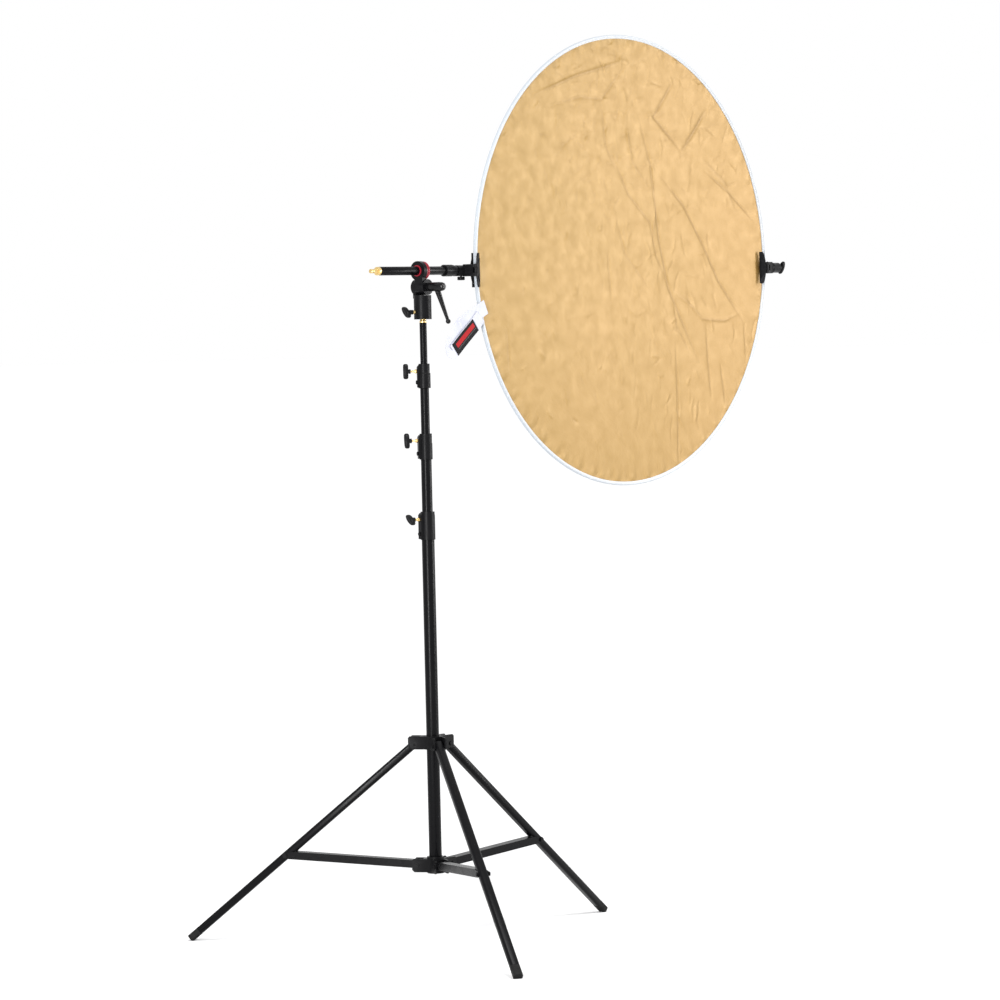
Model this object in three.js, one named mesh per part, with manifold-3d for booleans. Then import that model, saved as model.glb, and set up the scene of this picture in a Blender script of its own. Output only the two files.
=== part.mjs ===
// A round fabric reflector held by a telescopic boom on a four-section light stand.
// Millimetres, +Z up. The column stands on the Z axis while the model is built, the boom points
// along +X and the reflector faces -Y. The finished group is moved so that the origin is the
// middle of the footprint, on the floor.

import * as THREE from 'three';
import { mergeVertices } from 'three/addons/utils/BufferGeometryUtils.js';
import Module from 'manifold-3d';

const wasm = await Module();
wasm.setup();

const DEG = Math.PI / 180;

// ---- driving dimensions ----------------------------------------------------------------------

const GAP = 0.3;                    // clearance between parts that touch
const TIP_GAP = 0.8;                // a clamp screw's tip to the tube
const SIDES = 18;                   // facets of a round part, the same on a tube and in its bore

// stand
const COLUMN = { r: 16.5, bore: 14.4, z0: 179.5, z1: 1094 };
const RISER_1 = { r: 13.8, bore: 11.9, z0: 340, z1: 1292 };
const RISER_2 = { r: 11.4, bore: 9.7, z0: 460, z1: 1470 };
const RISER_3 = { r: 9.2, bore: 7.2, z0: 580, z1: 1581 };
const LOWER_PIVOT = { r: 47, z: 200 };
const UPPER_PIVOT = { r: 50.5, z: 506.8 };
const LEG_SLOPE = 39.75 * DEG;      // below the horizontal, legs spread
const LEG_TO_BRACE = 445.2;         // upper pivot to brace joint, along the leg
const LEG_TUBE_END = 752;           // upper pivot to the tube's lower end
const LEG_CAP_END = 784;            // upper pivot to the foot's end, before its flat is cut
const LEG_WIDE = 24;
const LEG_DEEP = 20;
const BRACE_WIDE = 28;
const BRACE_TOP = 12;               // web's outer face above the brace's axis
const BRACE_LOW = 8;                // walls below the axis
const BRACE_WALL = 1.6;
const LEG_AZIMUTHS = [0, 120, 240];

// lock collars: radius over the upper tube, radius over the lower tube, heights, knob
const COLLARS = [
  { z0: 1030, z1: 1101, step: 1092, lower: COLUMN, upper: RISER_1, rUp: 18.2, rLow: 18.9, boss: 23.5,
    knobZ: 1082, azimuth: 163, reach: 50, wingTurn: 55 },
  { z0: 1234, z1: 1299.5, step: 1274, lower: RISER_1, upper: RISER_2, rUp: 15.8, rLow: 16.7, boss: 20.5,
    knobZ: 1282, azimuth: 145, reach: 49, wingTurn: 12 },
  { z0: 1415, z1: 1477, step: 1452, lower: RISER_2, upper: RISER_3, rUp: 14.3, rLow: 15.9, boss: 18.5,
    knobZ: 1458, azimuth: 138, reach: 47, wingTurn: 4 },
];

// clamp head
const SOCKET = { r: 22.4, z0: 1589.5, z1: 1650.6, bore: 7.9, boreTop: 1632, knobZ: 1608, azimuth: 163 };
const SPIGOT_TOP = SOCKET.boreTop - 1.5;
const TILT_Z = 1671;
const KNUCKLE_R = 20;
const BOOM_Z = 1712.5;
const RING = { r: 24.5, x0: -17, x1: -5.3 };
const FLANGE = { r: 23.6, x0: -5, x1: 5.5 };
const BUSH_R = 14.2;                // outside of the bushing's sleeve
const LEVER_Y = -46;

// boom
const OUTER = { r: 11, bore: 9.5, x0: -157, x1: 118 };
const INNER = { r: 9.1, bore: 7.5, x0: -104, x1: 1452 };
const TAIL = { tipR: 5.4, tipX: -189, midR: 10.7, midX: -166, plugX: -128 };
const TWIST = { r: 15, x0: 80.5, x1: 125 };

// reflector
const DISC_X = 767;
const DISC_Z = BOOM_Z + 22;
const DISC_Y = -28;
const DISC_R = 600;
const RIM_WIDE = 10;
const RIM_DEEP = 12;
const FABRIC_THICK = 1.4;

// clips
const JAW_TALL = 88;
const JAW_OUTER_TALL = 38;
const JAW_REACH = 25;
const JAW_THICK = 3;
const JAW_TILT = 21.5 * DEG;
const HINGE_Y = -45.5;
const LEFT_HINGE_X = 154;
const RIGHT_HINGE_X = 1357.5;
const WEB_TALL = 31;

// ---- finishes --------------------------------------------------------------------------------

function finish(color, roughness, metalness) {
  return new THREE.MeshStandardMaterial({ color, roughness, metalness });
}
const FINISH = {
  anodised: finish(0x1d1d1f, 0.38, 0.6),
  casting: finish(0x161618, 0.55, 0.4),
  plastic: finish(0x121213, 0.45, 0.0),
  brass: finish(0xc8a45a, 0.3, 1.0),
  steel: finish(0x9a9a9c, 0.35, 1.0),
  red: finish(0x9c1024, 0.4, 0.0),
  gold: finish(0xe2b974, 0.5, 0.3),
  white: finish(0xe6ebee, 0.8, 0.0),
  patch: finish(0x17171a, 0.8, 0.0),
};

// ---- solids ----------------------------------------------------------------------------------

function welded(geometry) {
  const g = geometry.clone();
  for (const name of Object.keys(g.attributes)) {
    if (name !== 'position') g.deleteAttribute(name);
  }
  return mergeVertices(g, 1e-4);
}

function signedVolume(geometry) {
  const p = geometry.attributes.position;
  const index = geometry.index;
  const [a, b, c] = [new THREE.Vector3(), new THREE.Vector3(), new THREE.Vector3()];
  let sum = 0;
  for (let i = 0; i < index.count; i += 3) {
    a.fromBufferAttribute(p, index.getX(i));
    b.fromBufferAttribute(p, index.getX(i + 1));
    c.fromBufferAttribute(p, index.getX(i + 2));
    sum += a.dot(b.cross(c));
  }
  return sum / 6;
}

function outward(geometry) {
  const g = welded(geometry);
  if (signedVolume(g) < 0) {
    const array = g.index.array;
    for (let i = 0; i < array.length; i += 3) [array[i], array[i + 1]] = [array[i + 1], array[i]];
  }
  return g;
}

function toManifold(geometry) {
  const g = outward(geometry);
  const vertProperties = new Float32Array(g.attributes.position.array);
  const triVerts = new Uint32Array(g.index.array);
  return new wasm.Manifold(new wasm.Mesh({ numProp: 3, vertProperties, triVerts }));
}

function fromManifold(solid) {
  const mesh = solid.getMesh();
  const g = new THREE.BufferGeometry();
  g.setAttribute('position', new THREE.BufferAttribute(new Float32Array(mesh.vertProperties), 3));
  g.setIndex(new THREE.BufferAttribute(new Uint32Array(mesh.triVerts), 1));
  return g;
}

function join(first, ...rest) {
  return fromManifold(rest.reduce((sum, g) => sum.add(toManifold(g)), toManifold(first)));
}

function cut(first, ...rest) {
  return fromManifold(rest.reduce((sum, g) => sum.subtract(toManifold(g)), toManifold(first)));
}

// a cylinder along Z from z0 to z1; a second radius makes it taper
function rod(r, z0, z1, sides = SIDES, rTop = r) {
  const upright = new THREE.CylinderGeometry(rTop, r, z1 - z0, sides).rotateX(90 * DEG);
  return outward(upright.translate(0, 0, (z0 + z1) / 2));
}

// a turned solid about Z from (radius, z) points; it closes on itself or on the axis
function turned(points, sides = SIDES, closed = true) {
  const profile = points.map(([r, z]) => new THREE.Vector2(r, z));
  if (closed) profile.push(profile[0].clone());
  return outward(new THREE.LatheGeometry(profile, sides).rotateX(90 * DEG));
}

function tube(r, bore, z0, z1, sides = SIDES) {
  return turned([[bore, z0], [r, z0], [r, z1], [bore, z1]], sides);
}

function block(x0, x1, y0, y1, z0, z1) {
  const box = new THREE.BoxGeometry(x1 - x0, y1 - y0, z1 - z0);
  return outward(box.translate((x0 + x1) / 2, (y0 + y1) / 2, (z0 + z1) / 2));
}

// an outline in X and Z, pushed along Y from y0 to y1
function plateXZ(shape, y0, y1, curveSegments = 6) {
  const g = new THREE.ExtrudeGeometry(shape, { depth: y1 - y0, bevelEnabled: false, curveSegments });
  return outward(g.rotateX(90 * DEG).translate(0, y1, 0));
}

// an outline in X and Y, pushed along Z from z0 to z1
function plateXY(shape, z0, z1, curveSegments = 6) {
  const g = new THREE.ExtrudeGeometry(shape, { depth: z1 - z0, bevelEnabled: false, curveSegments });
  return outward(g.translate(0, 0, z0));
}

const outline = (points) => new THREE.Shape(points.map(([x, y]) => new THREE.Vector2(x, y)));
const alongX = (geometry) => geometry.rotateY(90 * DEG);
const alongY = (geometry) => geometry.rotateX(-90 * DEG);

// the rounded rectangle of a leg: wide across Y, deep across Z
function legSection(wide, deep, r) {
  const s = new THREE.Shape();
  const [a, b] = [deep / 2, wide / 2];
  s.absarc(a - r, b - r, r, 0, 90 * DEG);
  s.absarc(-a + r, b - r, r, 90 * DEG, 180 * DEG);
  s.absarc(-a + r, -b + r, r, 180 * DEG, 270 * DEG);
  s.absarc(a - r, -b + r, r, 270 * DEG, 360 * DEG);
  return s;
}

// a leg section pushed along +X from x0 to x1
function legBar(wide, deep, r, x0, x1, segments = 3) {
  return plateXY(legSection(wide, deep, r), x0, x1, segments).rotateY(90 * DEG);
}

const model = new THREE.Group();

function piece(parent, name, geometry, material) {
  const mesh = new THREE.Mesh(outward(geometry), material);
  mesh.name = name;
  parent.add(mesh);
  return mesh;
}

// ---- column and spiders ----------------------------------------------------------------------

function clevisArm(from, pivot, endR, slotWide, cheek, rootX, zLow, zHigh) {
  const wide = slotWide / 2 + cheek;
  const arm = new THREE.Shape();
  arm.moveTo(from, zLow);
  arm.lineTo(pivot.r + endR * 0.6, zLow);
  arm.lineTo(pivot.r + endR, zLow + 6);
  arm.lineTo(pivot.r + endR, zHigh - 4);
  arm.lineTo(pivot.r + endR - 4, zHigh);
  arm.lineTo(from, zHigh);
  const whole = plateXZ(arm, -wide, wide);
  const boss = alongY(rod(5.5, -wide - 2.6, wide + 2.6, 10)).translate(pivot.r, 0, pivot.z);
  const slot = block(rootX, pivot.r + endR + 5, -slotWide / 2, slotWide / 2, zLow - 5, zHigh + 5);
  return cut(join(whole, boss), slot);
}

function spider(hubR, bore, z0, z1, arm) {
  const arms = LEG_AZIMUTHS.map((azimuth) => arm.clone().rotateZ(azimuth * DEG));
  return cut(join(rod(hubR, z0, z1), ...arms), rod(bore, z0 - 5, z1 + 5));
}

const column = new THREE.Group();
model.add(column);
piece(column, 'base_column', tube(COLUMN.r, COLUMN.bore, COLUMN.z0, COLUMN.z1), FINISH.anodised);
piece(column, 'column_end_plug', rod(COLUMN.bore - GAP, 180.5, 198), FINISH.plastic);
const lowerArm = clevisArm(12, LOWER_PIVOT, 11, BRACE_WIDE + 0.8, 3.6, 30, 182, 216);
piece(column, 'lower_spider', spider(22, COLUMN.r + GAP, 179, 221, lowerArm), FINISH.casting);

const legCollar = new THREE.Group();
model.add(legCollar);
const upperArm = clevisArm(12, UPPER_PIVOT, 11, LEG_WIDE + 0.8, 3.8, 33, 496, 529.5);
const SPIDER_KNOB = { z: 513, azimuth: 60 };
const atSpiderKnob = (g) => alongX(g).rotateZ(SPIDER_KNOB.azimuth * DEG).translate(0, 0, SPIDER_KNOB.z);
const spiderKnobBoss = atSpiderKnob(rod(7, 16, 27, 12));
const upperSpiderBody = join(spider(22, COLUMN.r + 0.4, 495.5, 530, upperArm), spiderKnobBoss);
const upperSpider = cut(upperSpiderBody, rod(COLUMN.r + 0.4, 490, 535), atSpiderKnob(rod(3.4, 5, 32, 12)));
piece(legCollar, 'upper_spider', upperSpider, FINISH.casting);

// an oval T-knob: its stem points along +X and the wing stands across it
function wing(reach, long, thick, deep, turn) {
  const oval = new THREE.Shape();
  oval.absellipse(0, 0, long / 2, deep / 2, 0, 360 * DEG);
  const g = new THREE.ExtrudeGeometry(oval, {
    depth: thick - 4, bevelEnabled: true, bevelThickness: 2, bevelSize: 2, bevelOffset: -2,
    bevelSegments: 1, curveSegments: 7,
  });
  const centred = g.translate(0, 0, -(thick - 4) / 2);
  return outward(centred.rotateY(90 * DEG).rotateX(turn * DEG).translate(reach, 0, 0));
}

const KNOB = { long: 39, thick: 13, deep: 17, neck: 12, bore: 3.1, screwR: 2.8, nutR: 5.2, nutLong: 4.5 };
function tKnob(reach, turn, neck) {
  const neckRod = alongX(rod(6, reach - neck, reach, 12, 4.6));
  const body = join(wing(reach, KNOB.long, KNOB.thick, KNOB.deep, turn), neckRod);
  return cut(body, alongX(rod(KNOB.bore, reach - neck - 8, reach - 3, 12)));
}

// a knob and its screw at height z: the screw's tip stops at tipR, close to the tube that it clamps
// and its nut stands just off the boss that ends at seat
function knobSet(parent, z, azimuth, tipR, seat, reach, turn, screwName, knobName, neck = KNOB.neck) {
  const g = new THREE.Group();
  g.position.set(0, 0, z);
  g.rotation.z = azimuth * DEG;
  parent.add(g);
  piece(g, knobName, tKnob(reach, turn, neck), FINISH.plastic);
  const nut = rod(KNOB.nutR, seat + 2 * GAP, seat + 2 * GAP + KNOB.nutLong, 12);
  piece(g, screwName, alongX(join(rod(KNOB.screwR, tipR, reach - 3.4, 12), nut)), FINISH.brass);
}

const spiderTip = COLUMN.r + TIP_GAP;
knobSet(legCollar, SPIDER_KNOB.z, SPIDER_KNOB.azimuth, spiderTip, 27, 47, 30, 'spider_screw', 'spider_knob');

// ---- braces and legs -------------------------------------------------------------------------

const braceJoint = {
  r: UPPER_PIVOT.r + LEG_TO_BRACE * Math.cos(LEG_SLOPE),
  z: UPPER_PIVOT.z - LEG_TO_BRACE * Math.sin(LEG_SLOPE),
};
const BRACE_LENGTH = Math.hypot(braceJoint.r - LOWER_PIVOT.r, braceJoint.z - LOWER_PIVOT.z);
const BRACE_SLOPE = Math.atan2(braceJoint.z - LOWER_PIVOT.z, braceJoint.r - LOWER_PIVOT.r);

function braceChannel() {
  const side = new THREE.Shape();
  side.moveTo(0, -BRACE_LOW);
  side.lineTo(BRACE_LENGTH, -BRACE_LOW);
  side.absarc(BRACE_LENGTH, 0, BRACE_LOW, -90 * DEG, 60 * DEG);
  side.lineTo(BRACE_LENGTH - 26, BRACE_TOP);
  side.lineTo(10, BRACE_TOP);
  side.absarc(0, 0, BRACE_LOW, 130 * DEG, 270 * DEG);
  const bar = plateXZ(side, -BRACE_WIDE / 2, BRACE_WIDE / 2, 4);
  const inside = BRACE_WIDE / 2 - BRACE_WALL;
  const hollow = block(-20, BRACE_LENGTH + 20, -inside, inside, -20, BRACE_TOP - BRACE_WALL);
  const openTop = block(BRACE_LENGTH - 29, BRACE_LENGTH + 20, -inside, inside, 0, 20);
  const openEnd = block(-20, 12, -inside, inside, 0, 20);
  const holes = [0, BRACE_LENGTH].map((x) => alongY(rod(3.3, -20, 20, 10)).translate(x, 0, 0));
  return cut(bar, hollow, openTop, openEnd, ...holes);
}

// a bolt along Y with a head at each end
function pivotBolt(half, headR, head, shank) {
  return alongY(turned([
    [0, -half - head], [headR, -half - head], [headR, -half], [shank, -half],
    [shank, half], [headR, half], [headR, half + head], [0, half + head],
  ], 12, false));
}

function footCap() {
  const cap = join(
    legBar(LEG_WIDE + 0.8, LEG_DEEP + 0.4, 6.2, LEG_TUBE_END + GAP, LEG_CAP_END),
    legBar(LEG_WIDE - 4.4, LEG_DEEP - 4.4, 5, LEG_TUBE_END - 24, LEG_TUBE_END + 2),
  );
  const floor = block(-100, 100, -40, 40, -60, 0);
  floor.rotateY(-LEG_SLOPE).translate(UPPER_PIVOT.z / Math.sin(LEG_SLOPE), 0, 0);
  return cut(cap, floor);
}

LEG_AZIMUTHS.forEach((azimuth, i) => {
  const n = i + 1;
  const plane = new THREE.Group();
  plane.rotation.z = azimuth * DEG;
  model.add(plane);

  const brace = new THREE.Group();
  brace.position.set(LOWER_PIVOT.r, 0, LOWER_PIVOT.z);
  brace.rotation.y = -BRACE_SLOPE;
  plane.add(brace);
  piece(brace, `brace_${n}`, braceChannel(), FINISH.anodised);
  const spiderBolt = alongY(rod(3, -BRACE_WIDE / 2 + 0.2, BRACE_WIDE / 2 - 0.2, 10));
  piece(brace, `brace_bolt_${n}`, spiderBolt, FINISH.steel);
  const legBolt = pivotBolt(BRACE_WIDE / 2 + GAP, 5.5, 4, 3);
  piece(brace, `leg_bolt_${n}`, legBolt.translate(BRACE_LENGTH, 0, 0), FINISH.casting);

  const leg = new THREE.Group();
  leg.position.set(UPPER_PIVOT.r, 0, UPPER_PIVOT.z);
  leg.rotation.y = LEG_SLOPE;
  plane.add(leg);
  const wall = 1.6;
  const inner = legBar(LEG_WIDE - 2 * wall, LEG_DEEP - 2 * wall, 5.4, -30, LEG_TUBE_END + 10);
  const jointHole = alongY(rod(3.4, -20, 20, 10)).translate(LEG_TO_BRACE, 0, 0);
  const legTube = cut(legBar(LEG_WIDE, LEG_DEEP, 7, -9, LEG_TUBE_END), inner, jointHole);
  piece(leg, `leg_tube_${n}`, legTube, FINISH.anodised);
  piece(leg, `leg_foot_${n}`, footCap(), FINISH.plastic);
});

// ---- risers and their lock collars -----------------------------------------------------------

function lockCollar(c) {
  const lip = 1.2;
  const body = turned([
    [c.upper.r, c.z0], [c.rLow - lip, c.z0], [c.rLow, c.z0 + lip], [c.rLow, c.step],
    [c.rUp, c.step + 2], [c.rUp, c.z1 - lip], [c.rUp - lip, c.z1], [c.upper.r, c.z1],
  ]);
  const bossShape = outline([
    [0, c.z0 + 2], [c.boss, c.z0 + 2], [c.boss, c.z1 - 8], [c.boss - 4, c.z1 - 3], [0, c.z1 - 3],
  ]);
  const boss = plateXZ(bossShape, -7.5, 7.5).rotateZ(c.azimuth * DEG);
  const bolt = alongX(rod(5.2, 0, c.boss + 3.4, 12)).rotateZ(c.azimuth * DEG).translate(0, 0, c.z0 + 15);
  const lower = rod(c.lower.r + GAP, c.z0 - 5, c.lower.z1 + GAP);
  const upper = rod(c.upper.r + 0.35, c.z0 - 5, c.z1 + 5);
  const screw = alongX(rod(3.2, 2, c.boss + 10, 12)).rotateZ(c.azimuth * DEG).translate(0, 0, c.knobZ);
  return cut(join(body, boss, bolt), lower, upper, screw);
}

const risers = [RISER_1, RISER_2, RISER_3];
risers.forEach((r, i) => {
  piece(model, `riser_${i + 1}`, tube(r.r, r.bore, r.z0, r.z1), FINISH.anodised);
});
COLLARS.forEach((c, i) => {
  piece(model, `lock_collar_${i + 1}`, lockCollar(c), FINISH.casting);
  const tip = c.lower.r + TIP_GAP;
  const [screwName, knobName] = [`knob_screw_${i + 1}`, `lock_knob_${i + 1}`];
  knobSet(model, c.knobZ, c.azimuth, tip, c.boss, c.reach, c.wingTurn, screwName, knobName);
});
// the brass spigot: a plug in the top riser, a collar on its rim, a groove and the stud in the socket
const SPIGOT = { plugR: RISER_3.bore - GAP, collarR: 9, grooveR: 7.4, studR: 7.6, tipR: 6.4, plugLong: 40 };
const topSpigot = turned([
  [0, RISER_3.z1 - SPIGOT.plugLong], [SPIGOT.plugR, RISER_3.z1 - SPIGOT.plugLong],
  [SPIGOT.plugR, RISER_3.z1 + GAP],
  [SPIGOT.collarR, RISER_3.z1 + GAP], [SPIGOT.collarR, RISER_3.z1 + 4], [SPIGOT.grooveR, RISER_3.z1 + 5.5],
  [SPIGOT.grooveR, SOCKET.z0 + 2], [SPIGOT.studR, SOCKET.z0 + 4], [SPIGOT.studR, SPIGOT_TOP - 2.5],
  [SPIGOT.tipR, SPIGOT_TOP], [0, SPIGOT_TOP],
], SIDES, false);
piece(model, 'top_spigot', topSpigot, FINISH.brass);

// ---- clamp head ------------------------------------------------------------------------------

const EAR_Y = 9.5;                  // the socket's ear stands on the +Y side of this plane
function socketBody() {
  const cup = turned([
    [0, SOCKET.z0], [SOCKET.r - 1, SOCKET.z0], [SOCKET.r, SOCKET.z0 + 1], [SOCKET.r, SOCKET.z1 - 2],
    [SOCKET.r - 2, SOCKET.z1], [0, SOCKET.z1],
  ], SIDES, false);
  const ear = alongY(rod(KNUCKLE_R, EAR_Y, EAR_Y + 12)).translate(0, 0, TILT_Z);
  const post = block(-14, 14, EAR_Y, EAR_Y + 10, SOCKET.z1 - 8, TILT_Z);
  const boltHole = alongY(rod(5.2, 0, 40, 14)).translate(0, 0, TILT_Z);
  const screw = alongX(rod(3.2, 2, 40, 12)).rotateZ(SOCKET.azimuth * DEG).translate(0, 0, SOCKET.knobZ);
  return cut(join(cup, ear, post), rod(SOCKET.bore, SOCKET.z0 - 5, SOCKET.boreTop), boltHole, screw);
}
piece(model, 'socket_body', socketBody(), FINISH.casting);
const socketTip = SOCKET.bore + 0.5;
knobSet(model, SOCKET.knobZ, SOCKET.azimuth, socketTip, SOCKET.r, 48, 50, 'socket_screw', 'socket_knob', 18);

function tiltBody() {
  const knuckle = alongY(rod(KNUCKLE_R, -20, EAR_Y - GAP)).translate(0, 0, TILT_Z);
  const ring = alongX(rod(RING.r, RING.x0, RING.x1)).translate(0, 0, BOOM_Z);
  const neckShape = outline([
    [-17, TILT_Z - 4], [17, TILT_Z - 4], [RING.x1, BOOM_Z - 20], [RING.x1, BOOM_Z], [-17, BOOM_Z],
  ]);
  const neck = plateXZ(neckShape, -17, EAR_Y - GAP);
  const earSlot = alongY(rod(KNUCKLE_R + 1.5, EAR_Y - GAP, 40)).translate(0, 0, TILT_Z);
  const bore = alongX(rod(BUSH_R + GAP, -40, 40)).translate(0, 0, BOOM_Z);
  const flangeRoom = alongX(rod(FLANGE.r + 1, RING.x1, 40)).translate(0, 0, BOOM_Z);
  const boltHole = alongY(rod(5.2, -40, 40, 14)).translate(0, 0, TILT_Z);
  return cut(join(knuckle, ring, neck), earSlot, bore, flangeRoom, boltHole);
}
piece(model, 'tilt_body', tiltBody(), FINISH.casting);

const tiltBolt = alongY(turned([
  [0, LEVER_Y - 20], [4.8, LEVER_Y - 20], [4.8, EAR_Y + 12.4], [9, EAR_Y + 12.4],
  [9, EAR_Y + 19], [0, EAR_Y + 19],
], 14, false)).translate(0, 0, TILT_Z);
piece(model, 'tilt_bolt', tiltBolt, FINISH.steel);

// a ratchet lever: a domed hub round the bolt and a tapered arm that ends in a ball
function clampLever() {
  const hub = alongY(turned([
    [0, -78], [6, -77], [9.6, -73], [11.2, -67], [11.8, -56], [11.6, -40], [10.6, -20.8], [0, -20.8],
  ], 14, false)).translate(0, 0, TILT_Z);
  const start = new THREE.Vector3(2, LEVER_Y - 3, TILT_Z - 5);
  const end = new THREE.Vector3(26, -63, TILT_Z - 88);
  const arm = rod(7.6, 0, start.distanceTo(end), 14, 4);
  const along = end.clone().sub(start).normalize();
  const aim = new THREE.Quaternion().setFromUnitVectors(new THREE.Vector3(0, 0, 1), along);
  arm.applyQuaternion(aim).translate(start.x, start.y, start.z);
  const ball = new THREE.SphereGeometry(6.4, 10, 8).translate(end.x, end.y, end.z);
  const boltHole = alongY(rod(5.1, LEVER_Y - 20.6, 0, 14)).translate(0, 0, TILT_Z);
  return cut(join(hub, arm, ball), boltHole);
}
piece(model, 'clamp_lever', clampLever(), FINISH.plastic);

// ---- boom ------------------------------------------------------------------------------------

const boom = new THREE.Group();
boom.position.z = BOOM_Z;
model.add(boom);

const bushing = alongX(turned([
  [OUTER.r + GAP, RING.x0 - 3], [BUSH_R, RING.x0 - 3], [BUSH_R, FLANGE.x0], [FLANGE.r - 1, FLANGE.x0],
  [FLANGE.r, FLANGE.x0 + 1], [FLANGE.r, FLANGE.x1 - 1], [FLANGE.r - 1.5, FLANGE.x1],
  [OUTER.r + GAP, FLANGE.x1],
]));
piece(boom, 'boom_bushing', bushing, FINISH.red);
piece(boom, 'boom_outer_tube', alongX(tube(OUTER.r, OUTER.bore, OUTER.x0, OUTER.x1)), FINISH.anodised);
piece(boom, 'boom_inner_tube', alongX(tube(INNER.r, INNER.bore, INNER.x0, INNER.x1)), FINISH.anodised);

const tailSpigot = alongX(turned([
  [0, TAIL.tipX], [TAIL.tipR - 1, TAIL.tipX], [TAIL.tipR, TAIL.tipX + 1.5], [TAIL.tipR, TAIL.tipX + 9],
  [TAIL.tipR - 1, TAIL.tipX + 10.5], [TAIL.tipR - 1, TAIL.tipX + 13], [TAIL.tipR, TAIL.tipX + 14.5],
  [TAIL.tipR, TAIL.midX], [TAIL.midR - 1.5, TAIL.midX], [TAIL.midR, TAIL.midX + 2],
  [TAIL.midR, OUTER.x0 - GAP],
  [OUTER.bore - GAP, OUTER.x0 - GAP], [OUTER.bore - GAP, TAIL.plugX], [0, TAIL.plugX],
], SIDES, false));
piece(boom, 'tail_spigot', tailSpigot, FINISH.brass);

const twistCollar = alongX(turned([
  [OUTER.r + GAP, TWIST.x0], [TWIST.r - 1, TWIST.x0], [TWIST.r, TWIST.x0 + 1.5], [TWIST.r, TWIST.x1 - 9],
  [INNER.r + 3.5, TWIST.x1], [INNER.r + GAP, TWIST.x1], [INNER.r + GAP, OUTER.x1 + GAP],
  [OUTER.r + GAP, OUTER.x1 + GAP],
]));
piece(boom, 'boom_twist_collar', twistCollar, FINISH.plastic);

// ---- reflector -------------------------------------------------------------------------------

// rings and the disc are turned about Z, laid about Y and set at the reflector's middle
const RIM_SIDES = 64;
const placeDisc = (geometry) => geometry.rotateX(90 * DEG).translate(DISC_X, DISC_Y, DISC_Z);
const HOOP = { r0: DISC_R - 7, r1: DISC_R - 2.5, half: 1.6 };
const FABRIC_R = DISC_R - 8.2;
const rimInside = DISC_R - RIM_WIDE;
const slotHalf = FABRIC_THICK / 2 + GAP;
const binding = turned([
  [rimInside, slotHalf], [HOOP.r0 - 0.6, slotHalf], [HOOP.r0 - 0.6, HOOP.half + GAP],
  [HOOP.r1 + GAP, HOOP.half + GAP],
  [HOOP.r1 + GAP, -HOOP.half - GAP], [HOOP.r0 - 0.6, -HOOP.half - GAP], [HOOP.r0 - 0.6, -slotHalf],
  [rimInside, -slotHalf], [rimInside, -RIM_DEEP / 2], [DISC_R, -RIM_DEEP / 2],
  [DISC_R, RIM_DEEP / 2], [rimInside, RIM_DEEP / 2],
], RIM_SIDES);
piece(model, 'rim_binding', placeDisc(binding), FINISH.white);
const hoop = turned([
  [HOOP.r0, -HOOP.half], [HOOP.r1, -HOOP.half], [HOOP.r1, HOOP.half], [HOOP.r0, HOOP.half],
], RIM_SIDES);
piece(model, 'rim_hoop', placeDisc(hoop), FINISH.steel);
const fabric = rod(FABRIC_R, -FABRIC_THICK / 2, FABRIC_THICK / 2, RIM_SIDES);
piece(model, 'reflector_fabric', placeDisc(fabric), FINISH.gold);

// the carrying strap: flat webbing that hangs from the rim on the boom's tail side
const STRAP = {
  wide: 54, thick: 3,
  path: [[188, 1602], [154, 1588], [116, 1562], [88, 1535], [71, 1509]],
  labelWide: 37, label: [[157, 1573], [117, 1541], [77, 1509]],
};

// a band of even width along a curve in X and Z, pushed along Y
function strapBand(path, wide, y0, y1, steps) {
  const strapCurve = new THREE.SplineCurve(path.map(([x, z]) => new THREE.Vector2(x, z)));
  const left = [];
  const right = [];
  for (let i = 0; i <= steps; i += 1) {
    const t = i / steps;
    const p = strapCurve.getPoint(t);
    const d = strapCurve.getTangent(t);
    left.push([p.x - d.y * wide / 2, p.y + d.x * wide / 2]);
    right.push([p.x + d.y * wide / 2, p.y - d.x * wide / 2]);
  }
  return plateXZ(outline([...left, ...right.reverse()]), y0, y1);
}
const strapY = DISC_Y - RIM_DEEP / 2 + 2.5;
const strap = strapBand(STRAP.path, STRAP.wide, strapY - STRAP.thick, strapY, 8);
const rimRoom = rod(DISC_R + 0.4, -20, 20, RIM_SIDES);
piece(model, 'strap', cut(strap, placeDisc(rimRoom)), FINISH.white);
const labelBack = strapY - STRAP.thick - GAP;
const label = strapBand(STRAP.label, STRAP.labelWide, labelBack - 1.4, labelBack, 6);
piece(model, 'strap_label', label, FINISH.patch);

// ---- clips -----------------------------------------------------------------------------------

const JAW_HALF = JAW_TALL / 2;
const EAR_GAP = 7.5;                // half height of the jaw's knuckle, between the clip's ears

// the front jaw about its hinge: the hinge pin is the Z axis and the plate reaches along +X
function frontJaw() {
  const face = outline([
    [6.5, -JAW_OUTER_TALL / 2], [12, -JAW_HALF + 5], [16, -JAW_HALF], [JAW_REACH, -JAW_HALF],
    [JAW_REACH, JAW_HALF], [16, JAW_HALF], [12, JAW_HALF - 5], [6.5, JAW_OUTER_TALL / 2],
  ]);
  const plate = plateXZ(face, -JAW_THICK / 2, JAW_THICK / 2);
  const arm = block(0, 9, -JAW_THICK / 2, JAW_THICK / 2, -EAR_GAP + GAP, EAR_GAP - GAP);
  const knuckle = rod(4.2, -EAR_GAP + GAP, EAR_GAP - GAP, 16);
  const ribShape = outline([[7, -12], [JAW_REACH - 3, -30], [JAW_REACH - 3, 30], [7, 12]]);
  const rib = plateXZ(ribShape, -JAW_THICK / 2 - 1.6, 0);
  return cut(join(plate, arm, knuckle, rib), rod(1.9, -20, 20, 12));
}

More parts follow.
